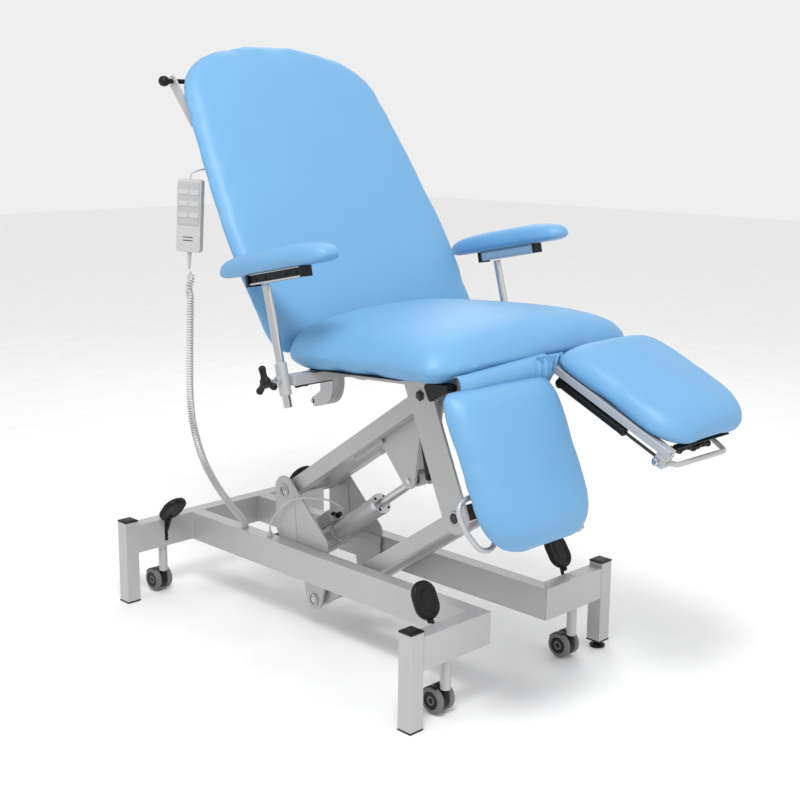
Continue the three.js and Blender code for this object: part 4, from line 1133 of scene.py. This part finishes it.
def leg_frame(name, side):
    local, body = LEG_REST[name], f"leg_rest_{name}"
    bm, pins, black = bmesh.new(), bmesh.new(), bmesh.new()
    for x, length in BARS:
        box(bm, (24, length, 18), (side * x, -BAR_START - length / 2, BAR_Z))
    for x, off in ((44, -9.5), (256, 9.5)):
        plate(bm, hull([(0, 0, 10.5), (-40, BAR_Z, 10.5)]), side * (x + off) - 4, side * (x + off) + 4)
        way = 1 if off > 0 else -1
        lathe(pins, (side * (x + off) + side * 4 * way, 0, 0), (side * way, 0, 0),
              [(0, 9), (1.4, 9), (1.6, 6.5), (3.4, 6.5), (4, 5.4), (4, 2)], 28)
    for y in (-84, -326):
        box(bm, (250, 20, 12), (side * 149, y, BAR_Z - 2))
    box(bm, (22, 26, 34), (side * 24, -381, BAR_Z - 21))
    box(bm, (25, 3, 43), (side * 24, -395, BAR_Z - 13))
    make(f"leg_tubes_{name}", bm, body, "paint", local,
         replaces=f"leg_rest_frame_{name}", bevel=1.6)
    bm = bmesh.new()
    tube(bm, bent_line(HANDLES[name], 12 if side > 0 else 18), 6, 24)
    make(f"leg_handle_{name}", bm, body, "paint", local)
    for z in (BAR_Z, BAR_Z - 24):
        bolt(pins, (side * 24, -396.5, z), (0, -1, 0), 5.5, 4)
    bolt(pins, (side * 13, -376, STRUT_Z - 4), (-side, 0, 0), 8, 8)
    make(f"leg_pins_{name}", pins, body, "chrome", local)
    lever = smooth_line([(side * 70, -372, -6), (side * 92, -376, -13), (side * 118, -372, -10),
                         (side * 146, -378, -16), (side * 172, -376, -13), (side * 204, -378, -15)], 6)
    tube(black, lever, 7, 16, [6 + 2 * math.sin(i * 0.8) ** 2 for i in range(len(lever))])
    tube(black, bent_line([(side * 70, -372, -6), (side * 56, -356, -8), (side * 36, -350, -8)], 8),
         4.5, 14)
    box(black, (200, 14, 3), (side * 150, -385, PAD_LOW - 3))
    lathe(black, (side * 24 - 13, -30, 0), (1, 0, 0), [(0, 8), (1, 9.5), (25, 9.5), (26, 8)], 32)
    make(f"leg_lever_{name}", black, body, "black", local)
    bm, steel = bmesh.new(), bmesh.new()
    x = side * 24
    lathe(bm, (x, -84, STRUT_Z), (0, -1, 0),
          [(0, 9), (1.5, 10), (180, 10), (186, 10.6), (191, 10.6), (194, 7)], 36)
    rod(bm, (x - 7, -80, STRUT_Z), (x + 7, -80, STRUT_Z), 11, soft=1, seg=36)
    box(bm, (12, 16, 19.4), (x, -80, BAR_Z - 19))
    make(f"strut_tube_{name}", bm, body, "black", local,
         replaces=f"leg_strut_{name}")
    rod(steel, (x, -270, STRUT_Z), (x, -367.5, STRUT_Z), 3.6, soft=0.4)
    make(f"strut_rod_{name}", steel, body, "dark", local)


# ------------------------------------------------------------------ vinyl between seat and leg rests

def ribbon(name, rows_of_points, thick=1.6):
    """A sheet of vinyl through rows of points, with a little thickness."""
    bm = bmesh.new()
    grid = [[bm.verts.new(p) for p in line] for line in rows_of_points]
    for a, b in zip(grid, grid[1:]):
        for i in range(len(a) - 1):
            bm.faces.new((a[i], a[i + 1], b[i + 1], b[i]))
    obj = smooth_object(name, bm, "vinyl")
    mod = obj.modifiers.new("thickness", "SOLIDIFY")
    mod.thickness = thick * 0.001
    mod.offset = 0
    return obj


FLAPS = {
    "left": ((-618, 798), (-630, 801), (-641, 798), (-648, 790), (-651, 779), (-649, 766), (-642, 755),
             (-630, 750)),
    "right": ((-608, 786), (-616, 780), (-626, 777), (-634, 780), (-638, 788), (-636, 796), (-630, 801),
              (-624, 802)),
}


def flap(name, side):
    """The hinge flap of vinyl from under the seat's front edge to the start of a leg cushion."""
    line = smooth_line([Vector((0, y, z)) for y, z in FLAPS[name]], 5)
    rows_of_points = []
    for i in range(73):
        f = i / 72
        x = side * (10 + 286 * f)
        near = max(0, 1 - f / 0.3)
        sag = 0.8 * math.sin(f * math.pi * 4) + 3.2 * near * math.sin(f * math.pi * 26)
        lift = 17 * (1 - f) if side < 0 else 0
        corner = 12 * max(0, (f - 0.86) / 0.14) ** 2
        rows_of_points.append([])
        for k, p in enumerate(line):
            part = k / (len(line) - 1)
            out = math.sin(math.pi * part)
            rows_of_points[-1].append(Vector((x, p.y + (sag + corner) * out, p.z + lift * (1 - part))))
    obj = ribbon(f"hinge_flap_{name}", rows_of_points)
    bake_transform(obj)


def gusset():
    """The gathered strip that hangs between the two leg rests."""
    rows_of_points = []
    for j in range(33):
        t = j / 32
        left, right = -58 + 42 * t ** 0.8, 34 - 24 * t ** 0.8
        line = []
        for i in range(81):
            f = i / 80
            fold = 3.4 * math.sin(f * math.pi * 9 + 0.5 * math.sin(t * 5))
            line.append(Vector((left + (right - left) * f, -645 + 26 * t * t + fold, 817 - 78 * t)))
        rows_of_points.append(line)
    obj = ribbon("centre_gusset", rows_of_points, 1.2)
    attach(obj, "carriage")


# ------------------------------------------------------------------ arm rests

def arm_rest(name, side):
    x = side * POST_X
    bm = bmesh.new()
    d = post_at(x, 1) - post_at(x, 0)
    long = d.length * 0.985
    lathe(bm, post_at(x, 0), d, [(0, 8.6), (1.4, 10), (long - 1, 10), (long, 9)], 48)
    make(f"post_tube_{name}", bm, f"arm_post_{name}", "chrome",
         replaces=f"armrest_post_{name}")
    local, body = rest_frame(side), f"arm_rest_{name}"
    bm, light = bmesh.new(), bmesh.new()
    box(bm, (26, 190, 22), (0, -43, -13))
    box(bm, (32, 6, 24), (0, -137, -12.6))
    box(bm, (36, 10, 27), (0, 50, -14.5))
    for y in (-120, -84, -12, 24):
        bolt(bm, (side * 13, y, -14), (side, 0, 0), 4, 2.4)
    make(f"rest_channel_{name}", bm, body, "black", local,
         replaces=f"armrest_bar_{name}", bevel=1.6)
    for way in (-1, 1):
        box(light, (3, 184, 4), (way * 14.3, -42, -22.6))
    box(light, (31, 184, 2.4), (0, -42, -1.6))
    box(light, (3, 182, 17), (-side * 14.3, -42, -12))
    make(f"rest_rail_{name}", light, body, "alu", local, bevel=0.6)
    centre = post_at(side * (POST_X + 52), 0.23)
    bm = bmesh.new()
    lathe(bm, centre - Vector((side * 9, 0, 0)), (side, 0, 0),
          [(0, 9), (1, 11), (4, 13.4), (9, 14), (14, 13), (17, 10), (18, 5)], 36)
    for i in range(3):
        a = math.radians(70 + 120 * i)
        out = Vector((0, math.cos(a), math.sin(a)))
        line = [centre + out * s for s in (4, 10, 16, 22, 27, 31, 34.5, 37, 38.4)]
        tube(bm, line, 8, 20, [9.5, 8.4, 7.4, 7.4, 8.2, 8.5, 7.6, 5.2, 1.6])
    make(f"knob_body_{name}", bm, f"arm_knob_{name}", "black",
         replaces=f"armrest_knob_{name}")
    bm = bmesh.new()
    rod(bm, post_at(side * (POST_X + 15), 0.23), post_at(side * (POST_X + 44), 0.23), 4, soft=0.4)
    make(f"knob_stud_{name}", bm, f"arm_knob_{name}", "chrome")


# ------------------------------------------------------------------ hand control

HANDSET = (Matrix.Translation((-341, 226, 1086)) @ Matrix.Rotation(math.radians(-60), 4, "Z")
           @ Matrix.Rotation(math.radians(3), 4, "Y"))
BUTTON_ROWS = (58, 30, 2)


def lie_flat():
    """Turns rings drawn in XY so that their height runs along the hand control's depth."""
    return Matrix(((1, 0, 0, 0), (0, 0, -1, 0), (0, 1, 0, 0), (0, 0, 0, 1)))


def handset():
    bm = bmesh.new()
    profile = ((3, -11), (0.8, -10.2), (0, -8.4), (0, 3), (0.6, 3.2), (0.6, 4), (0, 4.2), (0, 8.6),
               (0.8, 10.2), (3, 11))
    loft(bm, [rounded_ring(64, 178, 8, inset, z) for inset, z in profile])
    bmesh.ops.transform(bm, matrix=lie_flat(), verts=bm.verts)
    make("handset_shell", bm, "backrest", "shell", HANDSET, replaces="handset")
    bm = bmesh.new()
    loft(bm, [rounded_ring(57, 106, 5, inset, z) for inset, z in ((0, 0), (0, 0.5), (0.6, 0.9), (6, 0.9))])
    bmesh.ops.transform(bm, matrix=Matrix.Translation((0, -11.2, 30)) @ lie_flat(), verts=bm.verts)
    make("handset_panel", bm, "backrest", "key", HANDSET)
    bm = bmesh.new()
    for z in (-52, -60):
        box(bm, (26, 0.6, 2), (0, -11.2, z))
    make("handset_lines", bm, "backrest", "dark", HANDSET)
    bm = bmesh.new()
    profile = [(0, 6)]
    for i in range(8):
        r = 6 - i * 0.3
        profile += [(3 + i * 5, r), (4.6 + i * 5, r), (4.8 + i * 5, r - 0.9), (7.4 + i * 5, r - 1)]
    lathe(bm, (0, 0, -88), (0, 0, -1), [*profile, (43, 2.6)], 28)
    make("handset_relief", bm, "backrest", "shell", HANDSET)
    bm = bmesh.new()
    hook = smooth_line([(-337, 226, 1170), (-335, 225, 1187), (-311, 216, 1197), (-280, 206, 1198),
                        (-243, 193, 1196)], 10)
    tube(bm, hook, 1.8, 14)
    make("handset_hook", bm, "backrest", "shell")
    for number, z in enumerate(BUTTON_ROWS, 1):
        for name, side in SIDES:
            bm = bmesh.new()
            loft(bm, [rounded_ring(26, 13, 5, inset, h) for inset, h in
                      ((0, -1.4), (0, 0.8), (0.6, 1.5), (1.6, 1.7), (4, 1.3))])
            place = Matrix.Translation((side * 14, -11.8, z)) @ lie_flat()
            bmesh.ops.transform(bm, matrix=place, verts=bm.verts)
            make(f"key_{number}_{name}", bm, f"button_{number}_{name}", "shell",
                 HANDSET, replaces=f"button_{number}_{name}")


# ------------------------------------------------------------------ the whole chair

MAT = make_materials()
make_camera()
curly_cord()
actuator_lead()
glands()
base_frame()
weld_beads()
levelling_foot()
pedals()
casters()
base_bracket()
arms()
actuator()
carriage()
hinge_brackets_and_painted_shadow()
backrest_frame()
for side_name, side_sign in SIDES:
    leg_frame(side_name, side_sign)
    arm_rest(side_name, side_sign)
handset()
seat_cushion()
back_cushion()
for side_name, side_sign in SIDES:
    leg_cushion(side_name, side_sign)
    arm_cushion(side_name, side_sign)
    flap(side_name, side_sign)
gusset()
make_studio()
